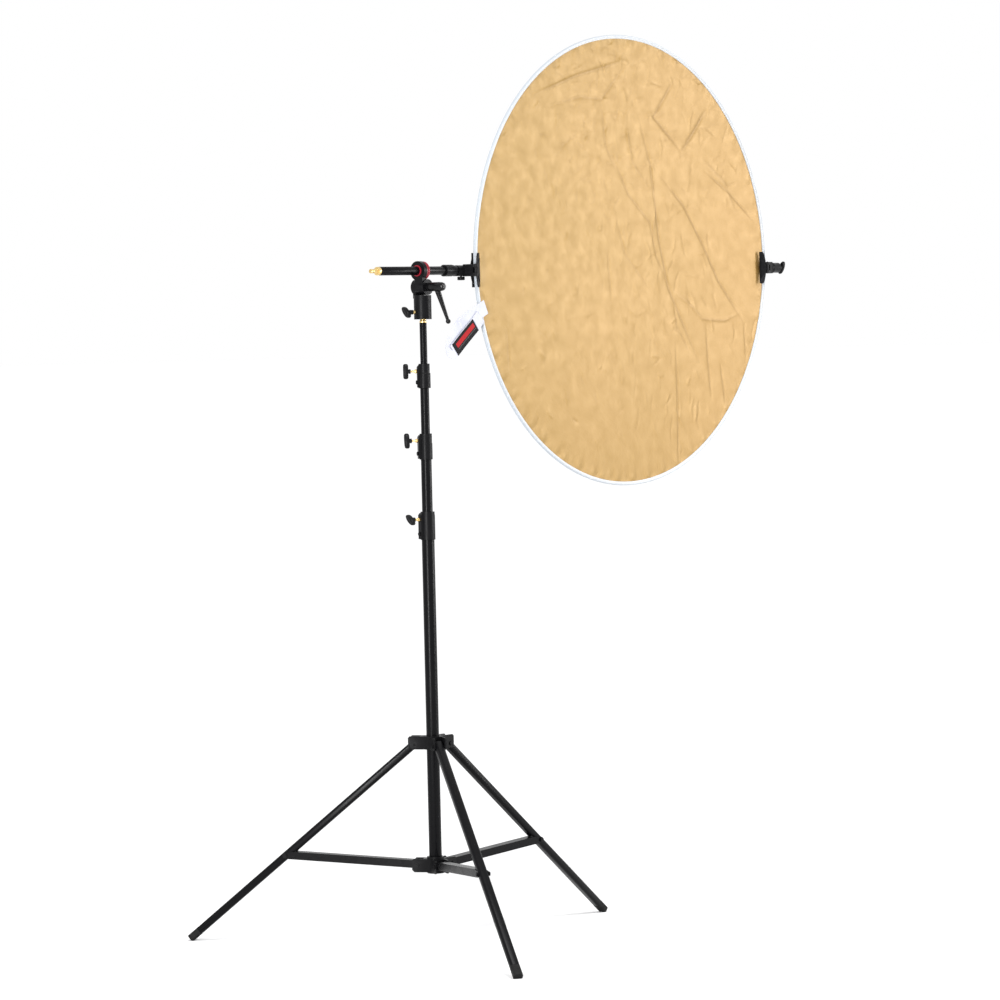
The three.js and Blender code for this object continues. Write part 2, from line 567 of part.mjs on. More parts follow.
// the clip's solid arm in plan, from the tube past the rim's outer edge to the hinge in front
function clipArm(x0, x1, hingeX, inward) {
  const arm = block(Math.min(x0, x1), Math.max(x0, x1), -39.4, -6, -WEB_TALL / 2, WEB_TALL / 2);
  const ear = rod(4.8, -WEB_TALL / 2, WEB_TALL / 2, 16).translate(hingeX, HINGE_Y, 0);
  const near = inward > 0 ? Math.max(x0, x1) : Math.min(x0, x1);
  const far = inward > 0 ? Math.min(x0, x1) : Math.max(x0, x1);
  const linkShape = outline([
    [near, -37], [far, -37], [far, -43], [hingeX, HINGE_Y - 4.6], [hingeX, HINGE_Y + 4.6], [near, -39.4],
  ]);
  const link = plateXY(linkShape, -WEB_TALL / 2, WEB_TALL / 2);
  const knuckleRoom = rod(6, -EAR_GAP, EAR_GAP, 16).translate(hingeX, HINGE_Y, 0);
  const swing = block(hingeX - 10, hingeX + 10, HINGE_Y - 20, HINGE_Y + 6, -EAR_GAP, EAR_GAP);
  return cut(join(arm, ear, link), knuckleRoom, swing, rod(1.9, -30, 30, 12).translate(hingeX, HINGE_Y, 0));
}

// behind the rim: a narrow heel that widens to the full height of the jaw under the rim
const REAR_JAW = { heel: 19, wide: 14.5, shoulder: 30 };
function rearJaw(x0, x1, inward) {
  const [back, front] = inward > 0 ? [x0, x1] : [x1, x0];
  const heel = front - inward * REAR_JAW.heel;
  const wide = front - inward * REAR_JAW.wide;
  const face = outline([
    [back, -WEB_TALL / 2], [heel, -WEB_TALL / 2], [wide, -REAR_JAW.shoulder], [wide, -JAW_HALF],
    [front, -JAW_HALF], [front, JAW_HALF], [wide, JAW_HALF], [wide, REAR_JAW.shoulder],
    [heel, WEB_TALL / 2], [back, WEB_TALL / 2],
  ]);
  return plateXZ(face, DISC_Y + RIM_DEEP / 2 + GAP, DISC_Y + RIM_DEEP / 2 + GAP + 3.2);
}

function frontJawAt(parent, name, pinName, hingeX, inward) {
  const g = new THREE.Group();
  g.position.set(hingeX, HINGE_Y, 0);
  g.rotation.z = inward > 0 ? JAW_TILT : Math.PI - JAW_TILT;
  parent.add(g);
  const jaw = frontJaw();
  if (inward < 0) jaw.scale(1, -1, 1);
  piece(g, name, jaw, FINISH.plastic);
  piece(g, pinName, rod(1.6, -WEB_TALL / 2 - 1, WEB_TALL / 2 + 1, 10), FINISH.steel);
}

const boreX = (x0, x1) => alongX(rod(INNER.r + GAP, x0, x1));

// the left clip and its thumb screw
const LEFT = { x0: 128, x1: 165.5, armX0: 148, armX1: 162, screwX: 147 };
const leftSleeve = alongX(rod(13.4, LEFT.x0, LEFT.x1));
const leftFoot = block(LEFT.x0 + 1, LEFT.x1, -12, 11, -14.4, 0);
const leftBack = block(LEFT.armX0, LEFT.x1, -23, -6, -WEB_TALL / 2, WEB_TALL / 2);
const leftRear = rearJaw(LEFT.armX0, 182, 1);
const leftBody = cut(
  join(leftSleeve, leftFoot, leftBack, clipArm(LEFT.armX0, LEFT.armX1, LEFT_HINGE_X, 1), leftRear),
  boreX(100, 200),
  rod(3.4, -20, 0, 12).translate(LEFT.screwX, 0, 0),
);
piece(boom, 'left_clip_body', leftBody, FINISH.plastic);
frontJawAt(boom, 'left_front_jaw', 'left_jaw_pin', LEFT_HINGE_X, 1);
const thumbScrew = turned([
  [0, -25], [8.4, -25], [9.6, -23.6], [9.6, -17.2], [8.4, -15.9], [2.8, -15.9], [2.8, -INNER.r - 1],
  [0, -INNER.r - 1],
], 14, false).translate(LEFT.screwX, 0, 0);
piece(boom, 'left_thumb_screw', thumbScrew, FINISH.plastic);

// the right clip at the boom's far end
const RIGHT = { x0: 1370, x1: 1463.5, armX0: 1370, armX1: 1383 };
const rightSleeve = alongX(turned([
  [0, RIGHT.x0], [15.2, RIGHT.x0], [15.6, RIGHT.x0 + 40], [15.6, RIGHT.x0 + 62], [14, RIGHT.x0 + 68],
  [14, RIGHT.x1 - 3], [11, RIGHT.x1], [0, RIGHT.x1],
], SIDES, false));
const rightRear = rearJaw(1334, RIGHT.armX1, -1);
const rightBody = cut(
  join(rightSleeve, clipArm(RIGHT.armX0, RIGHT.armX1, RIGHT_HINGE_X, -1), rightRear),
  boreX(1300, INNER.x1 + 2),
  alongX(rod(3.4, 1440, 1480, 12)),
);
piece(boom, 'right_clip_body', rightBody, FINISH.plastic);
frontJawAt(boom, 'right_front_jaw', 'right_jaw_pin', RIGHT_HINGE_X, -1);

const END_KNOB_X = 1479;
const endKnobBody = join(wing(END_KNOB_X, 37, 13, 15, 23), alongX(rod(6, RIGHT.x1 + GAP, END_KNOB_X, 12)));
const endScrew = alongX(rod(3, 1442, END_KNOB_X, 12));
piece(boom, 'end_knob', join(endKnobBody, endScrew), FINISH.plastic);

// ---- place the origin ------------------------------------------------------------------------

model.updateMatrixWorld(true);
const box = new THREE.Box3().setFromObject(model, true);
model.position.set(-(box.min.x + box.max.x) / 2, -(box.min.y + box.max.y) / 2, -box.min.z);
model.updateMatrixWorld(true);

export default model;
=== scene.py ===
import math
import random

import bpy
import numpy as np
from mathutils import Matrix, Vector


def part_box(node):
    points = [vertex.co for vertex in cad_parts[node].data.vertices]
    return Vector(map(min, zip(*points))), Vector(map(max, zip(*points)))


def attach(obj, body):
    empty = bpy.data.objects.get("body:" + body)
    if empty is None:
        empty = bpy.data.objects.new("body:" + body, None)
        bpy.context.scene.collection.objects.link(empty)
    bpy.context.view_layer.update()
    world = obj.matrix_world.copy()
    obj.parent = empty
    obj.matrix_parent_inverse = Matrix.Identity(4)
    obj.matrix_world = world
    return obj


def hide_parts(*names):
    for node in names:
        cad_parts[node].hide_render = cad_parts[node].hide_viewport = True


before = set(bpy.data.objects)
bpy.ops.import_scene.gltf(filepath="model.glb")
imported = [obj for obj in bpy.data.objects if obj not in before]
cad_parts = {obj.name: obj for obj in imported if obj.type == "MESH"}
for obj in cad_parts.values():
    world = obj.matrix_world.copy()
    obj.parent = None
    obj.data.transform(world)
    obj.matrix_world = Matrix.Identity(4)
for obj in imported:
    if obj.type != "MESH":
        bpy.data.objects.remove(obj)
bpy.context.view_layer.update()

# ---- units and places --------------------------------------------------------------------------
# Meshes are built in millimetres about their own axis and placed in the frame in metres.
# The places below are measured from the foot of the column, +X along the boom, -Y to the front.

MM = 0.001
COLUMN_LOW, COLUMN_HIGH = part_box("base_column")
AXIS = Vector(((COLUMN_LOW.x + COLUMN_HIGH.x) / 2, (COLUMN_LOW.y + COLUMN_HIGH.y) / 2, 0))
SEGMENTS = 64
SHARP = 35

# drawn tubes of the column: node, body, wall
TUBES = [("base_column", "column", 2.1), ("riser_1", "riser_1", 1.9), ("riser_2", "riser_2", 1.7),
         ("riser_3", "riser_3", 2.0)]

LEG_AZIMUTHS = [0, 120, 240]
LEG_SLOPE = 39.75
UPPER_PIVOT = (50.5, 506.8)
LEG_TUBE_END = 752
LEG_CAP_END = 784
LEG_WIDE = 24
LEG_DEEP = 20
LEG_WALL = 1.6

# lock collars: lower and upper tube radius, heights, outer radii, boss, knob
COLLARS = [
    dict(lower=16.5, upper=13.8, z0=1030, z1=1101, step=1092, top=1094, low_r=18.9, up_r=18.2, boss=23.5,
         knob_z=1082, azimuth=163, reach=50, turn=55, body="column"),
    dict(lower=13.8, upper=11.4, z0=1234, z1=1299.5, step=1274, top=1292, low_r=16.7, up_r=15.8, boss=20.5,
         knob_z=1282, azimuth=145, reach=49, turn=12, body="riser_1"),
    dict(lower=11.4, upper=9.2, z0=1415, z1=1477, step=1452, top=1470, low_r=15.9, up_r=14.3, boss=18.5,
         knob_z=1458, azimuth=138, reach=47, turn=4, body="riser_2"),
]
SPIDER_KNOB = dict(z=513, azimuth=60, reach=47, wing_turn=30, tip=17.3, seat=27)
SOCKET_KNOB = dict(z=1608, azimuth=163, reach=48, wing_turn=50, tip=8.4, seat=22.4, neck_long=18)
KNOB_LONG, KNOB_DEEP, KNOB_THICK, KNOB_ROUND = 39, 17, 13, 4.8
NUT_R = 5.2
SCREW_HOLE_R = 3.2
SPIDER_HUB_R, SPIDER_BORE_R = 22, 16.85

SOCKET_R = 22.4
SOCKET_Z0, SOCKET_Z1 = 1589.5, 1650.6
SPIGOT_BORE_R, SPIGOT_BORE_TOP = 7.9, 1632
TILT_Z = 1671
KNUCKLE_R = 20
TILT_BOLT_HOLE_R = 5.2
EAR_Y = 9.5
LEVER_FOOT, LEVER_BALL = (2, -49, -5), (26, -63, -88)
LEVER_BALL_R = 6.4
BOOM_Z = 1712.5
RING_R, RING_X0, RING_X1 = 24.5, -17, -5.3
FLANGE_R, FLANGE_X0, FLANGE_X1 = 23.6, -5, 5.5
BUSH_R = 14.2
OUTER_R, OUTER_BORE, OUTER_X0, OUTER_X1 = 11, 9.5, -157, 118
INNER_R, INNER_BORE, INNER_X0, INNER_X1 = 9.1, 7.5, -104, 1452
TAIL_R, TAIL_TIP, TAIL_STEP, TAIL_END = 5.4, -189, -166, -128
TWIST_R, TWIST_X0, TWIST_X1 = 15, 80.5, 125
TWIST_RIBS = 14

DISC_X, DISC_Y, DISC_Z = 767, -28, BOOM_Z + 22
DISC_R = 600
RIM_WIDE = 10
RIM_DEEP = 12
STITCH_R = DISC_R - RIM_WIDE + 2.2
FABRIC_R = 592
HINGE_Y = -45.5
LEFT_HINGE_X = 154
RIGHT_HINGE_X = 1357.5
JAW_TILT = 21.5
JAW_TALL = 88
WEB_TALL = 31
END_KNOB_X = 1479


def place(x=0, y=0, z=0):
    """The matrix in metres that puts a piece's own origin at this place, in millimetres."""
    return Matrix.Translation(AXIS + Vector((x, y, z)) * MM)


def turn(degrees, axis):
    return Matrix.Rotation(math.radians(degrees), 4, axis)


def linked(name, data):
    """A new object in the scene that holds this mesh, light or camera."""
    obj = bpy.data.objects.new(name, data)
    bpy.context.scene.collection.objects.link(obj)
    return obj


def new_mesh(name, points, faces):
    mesh = bpy.data.meshes.new(name)
    mesh.from_pydata(points, [], faces)
    return mesh


# ---- camera ------------------------------------------------------------------------------------

CAMERA_PLACE = (-7705, -7168, 1575.7)
CAMERA_HEADING = 48.075
CAMERA_PITCH = -2.4446
CAMERA_ROLL = -1.3048
CAMERA_LENS = 149.2


def make_camera():
    data = bpy.data.cameras.new("camera")
    data.lens = CAMERA_LENS
    data.sensor_width = 36
    data.clip_end = 200
    camera = linked("camera", data)
    aim = turn(-CAMERA_HEADING, "Z") @ turn(90 + CAMERA_PITCH, "X") @ turn(CAMERA_ROLL, "Z")
    camera.matrix_world = place(*CAMERA_PLACE) @ aim
    bpy.context.scene.camera = camera


make_camera()

# ---- materials ---------------------------------------------------------------------------------


class Look:
    """A Principled material and short calls that add procedural nodes to it."""

    def __init__(self, name, color, roughness, metallic=0.0, **sockets):
        self.material = bpy.data.materials.new(name)
        self.material.use_nodes = True
        self.tree = self.material.node_tree
        self.shader = self.tree.nodes["Principled BSDF"]
        self.set("Base Color", (*color, 1))
        self.set("Roughness", roughness)
        self.set("Metallic", metallic)
        for socket, value in sockets.items():
            self.set(socket.replace("_", " "), value)

    def set(self, socket, value):
        self.shader.inputs[socket].default_value = value

    def link(self, source, target):
        self.tree.links.new(source, target)

    def node(self, kind, values=None, **settings):
        made = self.tree.nodes.new(kind)
        for key, value in settings.items():
            setattr(made, key, value)
        for socket, value in (values or {}).items():
            if isinstance(value, bpy.types.NodeSocket):
                self.link(value, made.inputs[socket])
            else:
                made.inputs[socket].default_value = value
        return made

    def place_on(self, stretch=(1, 1, 1)):
        """Coordinates in the piece's own frame, in metres, multiplied by stretch."""
        where = self.node("ShaderNodeTexCoord").outputs["Object"]
        return self.node("ShaderNodeMapping", {"Vector": where, "Scale": stretch}).outputs["Vector"]

    def noise(self, where, scale, detail=3.0, rough=0.5):
        values = {"Vector": where, "Scale": scale, "Detail": detail, "Roughness": rough}
        return self.node("ShaderNodeTexNoise", values).outputs["Fac"]

    def waves(self, where, scale, direction, distortion=0.0):
        values = {"Vector": where, "Scale": scale, "Distortion": distortion}
        made = self.node("ShaderNodeTexWave", values, wave_type="BANDS", bands_direction=direction)
        return made.outputs["Fac"]

    def spread(self, value, low, high, start=0.3, end=0.7):
        values = {"Value": value, "From Min": start, "From Max": end, "To Min": low, "To Max": high}
        return self.node("ShaderNodeMapRange", values).outputs["Result"]

    def math(self, operation, a, b=0.0):
        return self.node("ShaderNodeMath", {0: a, 1: b}, operation=operation).outputs[0]

    def away(self, value, centre):
        """How far a value is from a centre."""
        return self.math("ABSOLUTE", self.math("SUBTRACT", value, centre))

    def stored(self, name):
        """A value kept on the points of the mesh."""
        return self.node("ShaderNodeAttribute", attribute_name=name).outputs["Fac"]

    def mix(self, factor, a, b):
        made = self.node("ShaderNodeMix", data_type="RGBA")
        for socket, value in ((0, factor), (6, a), (7, b)):
            if isinstance(value, bpy.types.NodeSocket):
                self.link(value, made.inputs[socket])
            else:
                made.inputs[socket].default_value = (*value, 1) if isinstance(value, tuple) else value
        return made.outputs[2]

    def color(self, source):
        self.link(source, self.shader.inputs["Base Color"])

    def rough(self, source):
        self.link(source, self.shader.inputs["Roughness"])

    def bump(self, *layers):
        """Layers are (height, strength, distance in metres), the widest first."""
        normal = None
        for height, strength, distance in layers:
            values = {"Height": height, "Strength": strength, "Distance": distance}
            if normal is not None:
                values["Normal"] = normal
            normal = self.node("ShaderNodeBump", values).outputs["Normal"]
        self.link(normal, self.shader.inputs["Normal"])


TUBE_BLACK = (0.0025, 0.0025, 0.003)
COAT_BLACK = (0.0035, 0.0035, 0.004)
LABEL_BLACK = (0.004, 0.004, 0.005)


def anodised(name, along):
    """Black anodised tube: satin, with fine draw lines and faint rub marks along its length."""
    look = Look(name, TUBE_BLACK, 0.27, Specular_IOR_Level=0.09)
    line_stretch, scuff_stretch = {
        "X": ((0.02, 1, 1), (3, 60, 60)),
        "Z": ((1, 1, 0.02), (60, 60, 3)),
    }[along]
    lines = look.noise(look.place_on(line_stretch), 900, 4)
    patches = look.noise(look.place_on(), 28, 5, 0.6)
    scuffs = look.noise(look.place_on(scuff_stretch), 3.2, 4, 0.55)
    worn = look.spread(scuffs, 0.0, 0.6, 0.60, 0.78)
    look.color(look.mix(worn, TUBE_BLACK, (0.009, 0.009, 0.0095)))
    look.rough(look.math("ADD", look.spread(patches, 0.23, 0.31), look.math("MULTIPLY", worn, 0.12)))
    look.bump((lines, 0.10, 0.0001))
    return look.material


def casting(name):
    """Powder-coated casting: orange peel, with small chips that show a greyer coat below."""
    look = Look(name, COAT_BLACK, 0.40, Specular_IOR_Level=0.10)
    peel = look.noise(look.place_on(), 900, 2)
    grain = look.noise(look.place_on(), 3800, 2)
    chips = look.spread(look.noise(look.place_on(), 150, 6, 0.7), 0.0, 1.0, 0.71, 0.75)
    look.color(look.mix(chips, COAT_BLACK, (0.022, 0.022, 0.023)))
    look.rough(look.spread(look.noise(look.place_on(), 60, 4), 0.30, 0.44))
    look.bump((peel, 0.35, 0.0002), (grain, 0.15, 0.00006))
    return look.material


def moulded(name, color, low=0.26, high=0.40, grain=2600, bump=0.22, specular=0.10):
    """Moulded plastic: fine spark grain, with faint flow marks in the gloss."""
    look = Look(name, color, low, Specular_IOR_Level=specular)
    fine = look.noise(look.place_on(), grain, 3)
    flow = look.noise(look.place_on((1, 1, 3)), 45, 5, 0.6)
    brighter = tuple(min(1, c * 1.7 + 0.004) for c in color)
    look.color(look.mix(look.spread(flow, 0.0, 0.7), color, brighter))
    look.rough(look.spread(flow, low, high))
    look.bump((fine, bump, 0.00012))
    return look.material


def turned_metal(name, color, tarnish, roughness, rings=2400):
    """Turned metal: fine rings across the axis and a patchy tarnish."""
    look = Look(name, color, roughness, 1.0)
    ring = look.waves(look.place_on(), rings / 6.28, "Z", 0.6)
    patch = look.noise(look.place_on(), 160, 5, 0.65)
    look.color(look.mix(look.spread(patch, 0.0, 0.85), color, tarnish))
    look.rough(look.spread(patch, roughness, roughness + 0.16))
    look.bump((ring, 0.12, 0.00005))
    return look.material


def woven(look, pitch):
    """Height of a plain weave over local X and Z, from 0 to 1, with its pitch in metres."""
    where = look.place_on()
    scale = math.pi / (10 * pitch)
    return look.math("MAXIMUM", look.waves(where, scale, "X"), look.waves(where, scale, "Z"))


GOLD = (0.236, 0.136, 0.019)
GOLD_DEEP = (0.155, 0.082, 0.012)
GOLD_PAINTED_SHEEN = (0.292, 0.170, 0.042)


def gold_fabric():
    """Gold-coated nylon: satin, a fine weave, small crumples, painted shade along the lines where it was
    folded, and a painted sheen that turns it paler towards +X.
    """
    look = Look("gold_fabric", GOLD, 0.46, 0.30, Specular_IOR_Level=0.5, Coat_Weight=0.12,
                Coat_Roughness=0.35)
    weave = woven(look, 0.0007)
    crumple = look.noise(look.place_on(), 26, 6, 0.62)
    fine = look.noise(look.place_on((1, 1, 0.6)), 95, 5, 0.6)
    # Painted sheen: the colour turns paler towards +X, the right side, with a broad random tone variation
    # mixed in.
    side = look.node("ShaderNodeSeparateXYZ", {"Vector": look.place_on()}).outputs["X"]
    painted_sheen_and_tone = look.spread(look.math("ADD", side, look.noise(look.place_on(), 2.2, 3)), 0.0, 1.0, 0.0, 1.1)
    tone = look.mix(painted_sheen_and_tone, GOLD, GOLD_PAINTED_SHEEN)
    threads = look.mix(look.spread(weave, 0.0, 0.16, 0.2, 0.9), tone, GOLD_DEEP)
    # Painted shade: darker along the folds and in the valleys of the wrinkles, from the stored fold weights.
    look.color(look.mix(look.stored("fold"), threads, GOLD_DEEP))
    look.rough(look.spread(crumple, 0.40, 0.54))
    look.bump((crumple, 0.05, 0.0022), (fine, 0.25, 0.0005), (weave, 0.10, 0.00008))
    return look.material


def white_fabric(name, pitch, color, rumple=0.35):
    """White nylon: plain weave, soft rumples, and painted shade that greys the hollows of the rumples."""
    look = Look(name, color, 0.82, Sheen_Weight=0.25, Sheen_Roughness=0.5)
    weave = woven(look, pitch)
    soft = look.noise(look.place_on(), 38, 5, 0.6)
    shade = tuple(c * 0.86 for c in color)
    # Painted shade: greyer where the rumple bump is low, in its hollows.
    tone = look.mix(look.spread(soft, 0.0, 1.0, 0.62, 0.36), color, shade)
    look.color(look.mix(look.spread(weave, 0.0, 0.25, 0.2, 0.9), tone, shade))
    look.rough(look.spread(soft, 0.74, 0.9))
    look.bump((soft, rumple, 0.0012), (weave, 0.25, 0.00015))
    return look.material


def rim_tape():
    """Bias tape round the hoop: ribs across the tape, a row of stitches near its inner edge, painted shade in
    the hollows of its puckers and across its outer side.
    """
    color = (0.46, 0.475, 0.49)
    look = Look("rim_tape", color, 0.78, Sheen_Weight=0.25, Sheen_Roughness=0.5)
    where = look.node("ShaderNodeTexCoord").outputs["Object"]
    parts = look.node("ShaderNodeSeparateXYZ", {"Vector": where})
    x, z = parts.outputs["X"], parts.outputs["Z"]
    along = look.math("MULTIPLY", look.math("ARCTAN2", z, x), DISC_R * MM)
    squares = look.math("ADD", look.math("POWER", x, 2.0), look.math("POWER", z, 2.0))
    radius = look.math("SQRT", squares)
    flat = look.node("ShaderNodeCombineXYZ", {"X": along, "Y": radius, "Z": parts.outputs["Y"]}).outputs[0]
    ribs = look.waves(flat, 420, "X")
    stitch = look.waves(flat, 55, "X")
    row = look.spread(look.away(radius, STITCH_R * MM), 1.0, 0.0, 0.0003, 0.0008)
    thread = look.math("MULTIPLY", row, look.spread(stitch, 0.0, 1.0, 0.35, 0.6))
    pucker = look.noise(flat, 30, 4, 0.55)
    shade = (0.42, 0.45, 0.50)
    # Painted shade: the tape turns darker across its outer side, near the full radius.
    outside = look.spread(radius, 0.0, 0.8, (DISC_R - 4.5) * MM, (DISC_R - 1) * MM)
    # Painted shade: greyer where the pucker bump is low, in its hollows.
    tone = look.mix(look.spread(pucker, 0.0, 0.6, 0.62, 0.38), color, shade)
    tone = look.mix(outside, tone, (0.32, 0.35, 0.385))
    look.color(look.mix(thread, tone, (0.60, 0.62, 0.64)))
    look.bump((pucker, 0.5, 0.0016), (thread, 0.5, 0.0003), (ribs, 0.2, 0.0001))
    return look.material


def label_patch():
    """Black woven label with a plain red band along it and a thin pale edge thread, no lettering."""
    look = Look("label_patch", LABEL_BLACK, 0.6, Specular_IOR_Level=0.1)
    where = look.node("ShaderNodeTexCoord").outputs["Object"]
    side = look.stored("side")
    weave = look.waves(where, 700, "X")
    inside = look.spread(look.away(look.stored("along"), 0.53), 1.0, 0.0, 0.41, 0.425)
    stripe = look.math("MULTIPLY", look.spread(look.away(side, 0.22), 1.0, 0.0, 0.34, 0.37), inside)
    edge = look.math("MULTIPLY", look.spread(look.away(side, -0.36), 0.55, 0.0, 0.012, 0.022), inside)
    dark = look.mix(look.spread(weave, 0.0, 0.5), LABEL_BLACK, (0.012, 0.012, 0.013))
    red = look.mix(look.spread(weave, 0.0, 0.7), (0.34, 0.012, 0.014), (0.20, 0.008, 0.012))
    look.color(look.mix(edge, look.mix(stripe, dark, red), (0.28, 0.28, 0.26)))
    look.bump((weave, 0.3, 0.00015), (look.noise(where, 200, 3), 0.3, 0.0006))
    return look.material


LOOKS = {
    "tube": anodised("anodised_tube", "Z"),
    "bar": anodised("anodised_bar", "X"),
    "casting": casting("powder_coat"),
    "plastic": moulded("black_nylon", COAT_BLACK),
    "gloss": moulded("lever_gloss", (0.003, 0.003, 0.0033), 0.08, 0.13, 1500, 0.02, 0.16),
    "rubber": moulded("foot_rubber", (0.006, 0.006, 0.006), 0.5, 0.65, 1900, 0.4),
    "brass": turned_metal("brass", (0.86, 0.66, 0.30), (0.60, 0.40, 0.15), 0.22),
    "steel": turned_metal("zinc_steel", (0.52, 0.52, 0.54), (0.30, 0.30, 0.31), 0.34),
    "black_steel": turned_metal("black_steel", (0.035, 0.035, 0.037), (0.02, 0.02, 0.02), 0.36),
    "red": moulded("red_nylon", (0.17, 0.004, 0.012), 0.26, 0.38, 1800, 0.08, 0.3),
    "gold": gold_fabric(),
    "back": white_fabric("white_backing", 0.0007, (0.82, 0.84, 0.86)),
    "tape": rim_tape(),
    "webbing": white_fabric("white_webbing", 0.0012, (0.47, 0.48, 0.55), 0.6),
    "label": label_patch(),
}

# ---- solids, in millimetres --------------------------------------------------------------------
# A solid is (points, faces), closed, with its faces pointing out.


def lathe(profile, segments=SEGMENTS):
    """A solid turned about Z from (radius, height) points that close on themselves or on the axis."""
    points, rings = [], []
    for radius, height in profile:
        if radius == 0:
            rings.append([len(points)] * segments)
            points.append(Vector((0, 0, height)))
            continue
        rings.append(list(range(len(points), len(points) + segments)))
        for i in range(segments):
            angle = 2 * math.pi * i / segments
            points.append(Vector((radius * math.cos(angle), radius * math.sin(angle), height)))
    pairs = list(zip(rings, rings[1:]))
    if profile[0][0] != 0:
        pairs.append((rings[-1], rings[0]))
    faces = []
    for low, high in pairs:
        for i in range(segments):
            j = (i + 1) % segments
            corners = [low[i], low[j], high[j], high[i]]
            face = [v for k, v in enumerate(corners) if v != corners[k - 1]]
            if len(face) > 2:
                faces.append(face)
    return points, faces


def rod(r, z0, z1, segments=SEGMENTS):
    return lathe([(0, z0), (r, z0), (r, z1), (0, z1)], segments)


def prism(outline, z0, z1):
    """An outline in X and Y, counter-clockwise, pushed along Z."""
    n = len(outline)
    points = [Vector((x, y, z)) for z in (z0, z1) for x, y in outline]
    sides = [[i, (i + 1) % n, n + (i + 1) % n, n + i] for i in range(n)]
    return points, [list(range(n))[::-1], list(range(n, 2 * n)), *sides]


def block(x0, x1, y0, y1, z0, z1):
    return prism([(x0, y0), (x1, y0), (x1, y1), (x0, y1)], z0, z1)


def moved(solid, matrix):
    points, faces = solid
    turned = [matrix @ p for p in points]
    if matrix.determinant() < 0:
        faces = [f[::-1] for f in faces]
    return turned, faces


def shift(solid, x=0, y=0, z=0):
    return moved(solid, Matrix.Translation((x, y, z)))


def along_x(solid):
    return moved(solid, turn(90, "Y"))


def along_y(solid):
    return moved(solid, turn(-90, "X"))


def plate_xz(outline, y0, y1):
    """An outline in X and Z, pushed along Y from y0 to y1."""
    return moved(prism(outline, -y1, -y0), turn(90, "X"))


def arc(cx, cy, r, start, end, steps):
    """Points of an arc, angles in degrees."""
    angles = [math.radians(start + (end - start) * i / steps) for i in range(steps + 1)]
    return [(cx + r * math.cos(a), cy + r * math.sin(a)) for a in angles]


def rounded_rectangle(wide, tall, r):
    x, y = wide / 2 - r, tall / 2 - r
    corners = ((x, y, 0), (-x, y, 90), (-x, -y, 180), (x, -y, 270))
    return [p for cx, cy, start in corners for p in arc(cx, cy, r, start, start + 90, 6)]


def grid_faces(rows, columns, wrap_rows=False, wrap_columns=False):
    """Quads between neighbouring points of a grid that is stored row by row."""
    faces = []
    for r in range(rows if wrap_rows else rows - 1):
        for c in range(columns if wrap_columns else columns - 1):
            up, side = (r + 1) % rows, (c + 1) % columns
            faces.append([r * columns + c, r * columns + side, up * columns + side, up * columns + c])
    return faces


def pillow(long, deep, thick, round_r, recess=0.9, steps=5, segments=72):
    """An oval plate across Z with rounded edges and a shallow dish in both faces."""
    layers = []
    for i in range(steps + 1):
        a = math.pi / 2 * i / steps
        layers.append((round_r * (1 - math.cos(a)), thick / 2 - round_r + round_r * math.sin(a)))
    layers += [(round_r + 0.8, thick / 2 - 0.1), (round_r + 1.5, thick / 2 - recess)]
    stack = [(inset, -z) for inset, z in reversed(layers)] + layers
    points = []
    for inset, z in stack:
        for k in range(segments):
            a = 2 * math.pi * k / segments
            points.append(Vector(((long / 2 - inset) * math.cos(a), (deep / 2 - inset) * math.sin(a), z)))
    last = (len(stack) - 1) * segments
    sides = grid_faces(len(stack), segments, wrap_columns=True)
    return points, [list(range(segments))[::-1], *sides, [last + k for k in range(segments)]]


def to_object(solid):
    return linked("solid", new_mesh("solid", *solid))


def baked(obj):
    """Applies an object's modifiers."""
    bpy.context.view_layer.update()
    evaluated = obj.evaluated_get(bpy.context.evaluated_depsgraph_get())
    mesh = bpy.data.meshes.new_from_object(evaluated)
    obj.modifiers.clear()
    old, obj.data = obj.data, mesh
    bpy.data.meshes.remove(old)


def fused(adds, cuts=()):
    """One object: the first solid joined with the others, then the cuts taken away."""
    obj = to_object(adds[0])
    operands = [(s, "UNION") for s in adds[1:]] + [(s, "DIFFERENCE") for s in cuts]
    for solid, operation in operands:
        other = to_object(solid)
        step = obj.modifiers.new(operation.lower(), "BOOLEAN")
        step.operation = operation
        step.solver = "MANIFOLD"
        step.object = other
        baked(obj)
        bpy.data.objects.remove(other)
    return obj


def bevel_edges(obj, width, sharp):
    edge = obj.modifiers.new("bevel", "BEVEL")
    edge.width = width
    edge.segments = 2
    edge.limit_method = "ANGLE"
    edge.angle_limit = math.radians(sharp)
    return edge


def finished(obj, name, matrix, bevel):
    """Bevels the edges, brings the mesh to metres, shades it smooth and puts it in place."""
    bevel_edges(obj, bevel, SHARP).miter_outer = "MITER_ARC"
    baked(obj)
    obj.data.transform(Matrix.Scale(MM, 4))
    obj.data.shade_smooth()
    obj.data.set_sharp_from_angle(angle=math.radians(SHARP))
    obj.name = name
    obj.data.name = name
    obj.matrix_world = matrix
    return obj


def piece(name, node, body, look, adds, cuts=(), matrix=None, bevel=0.5):
    """A finer piece that stands for one CAD node and rides on its body."""
    obj = finished(fused(adds, cuts), name, place() if matrix is None else matrix, bevel)
    obj.data.materials.clear()
    obj.data.materials.append(LOOKS[look])
    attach(obj, body)
    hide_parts(node)


# ---- stand -------------------------------------------------------------------------------------


def tube_profile(r, bore, z0, z1):
    return [(bore, z0), (r, z0), (r, z1), (bore, z1)]


def outward(solid, z, azimuth):
    """A solid along Z laid down so that it points out from the column at this height."""
    return moved(along_x(solid), Matrix.Translation((0, 0, z)) @ turn(azimuth, "Z"))


def make_column_tubes():
    for node, body, wall in TUBES:
        low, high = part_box(node)
        r = (high.x - low.x) / 2 / MM
        solid = lathe(tube_profile(r, r - wall, low.z / MM, high.z / MM))
        piece(f"{node}_tube", node, body, "tube", [solid])


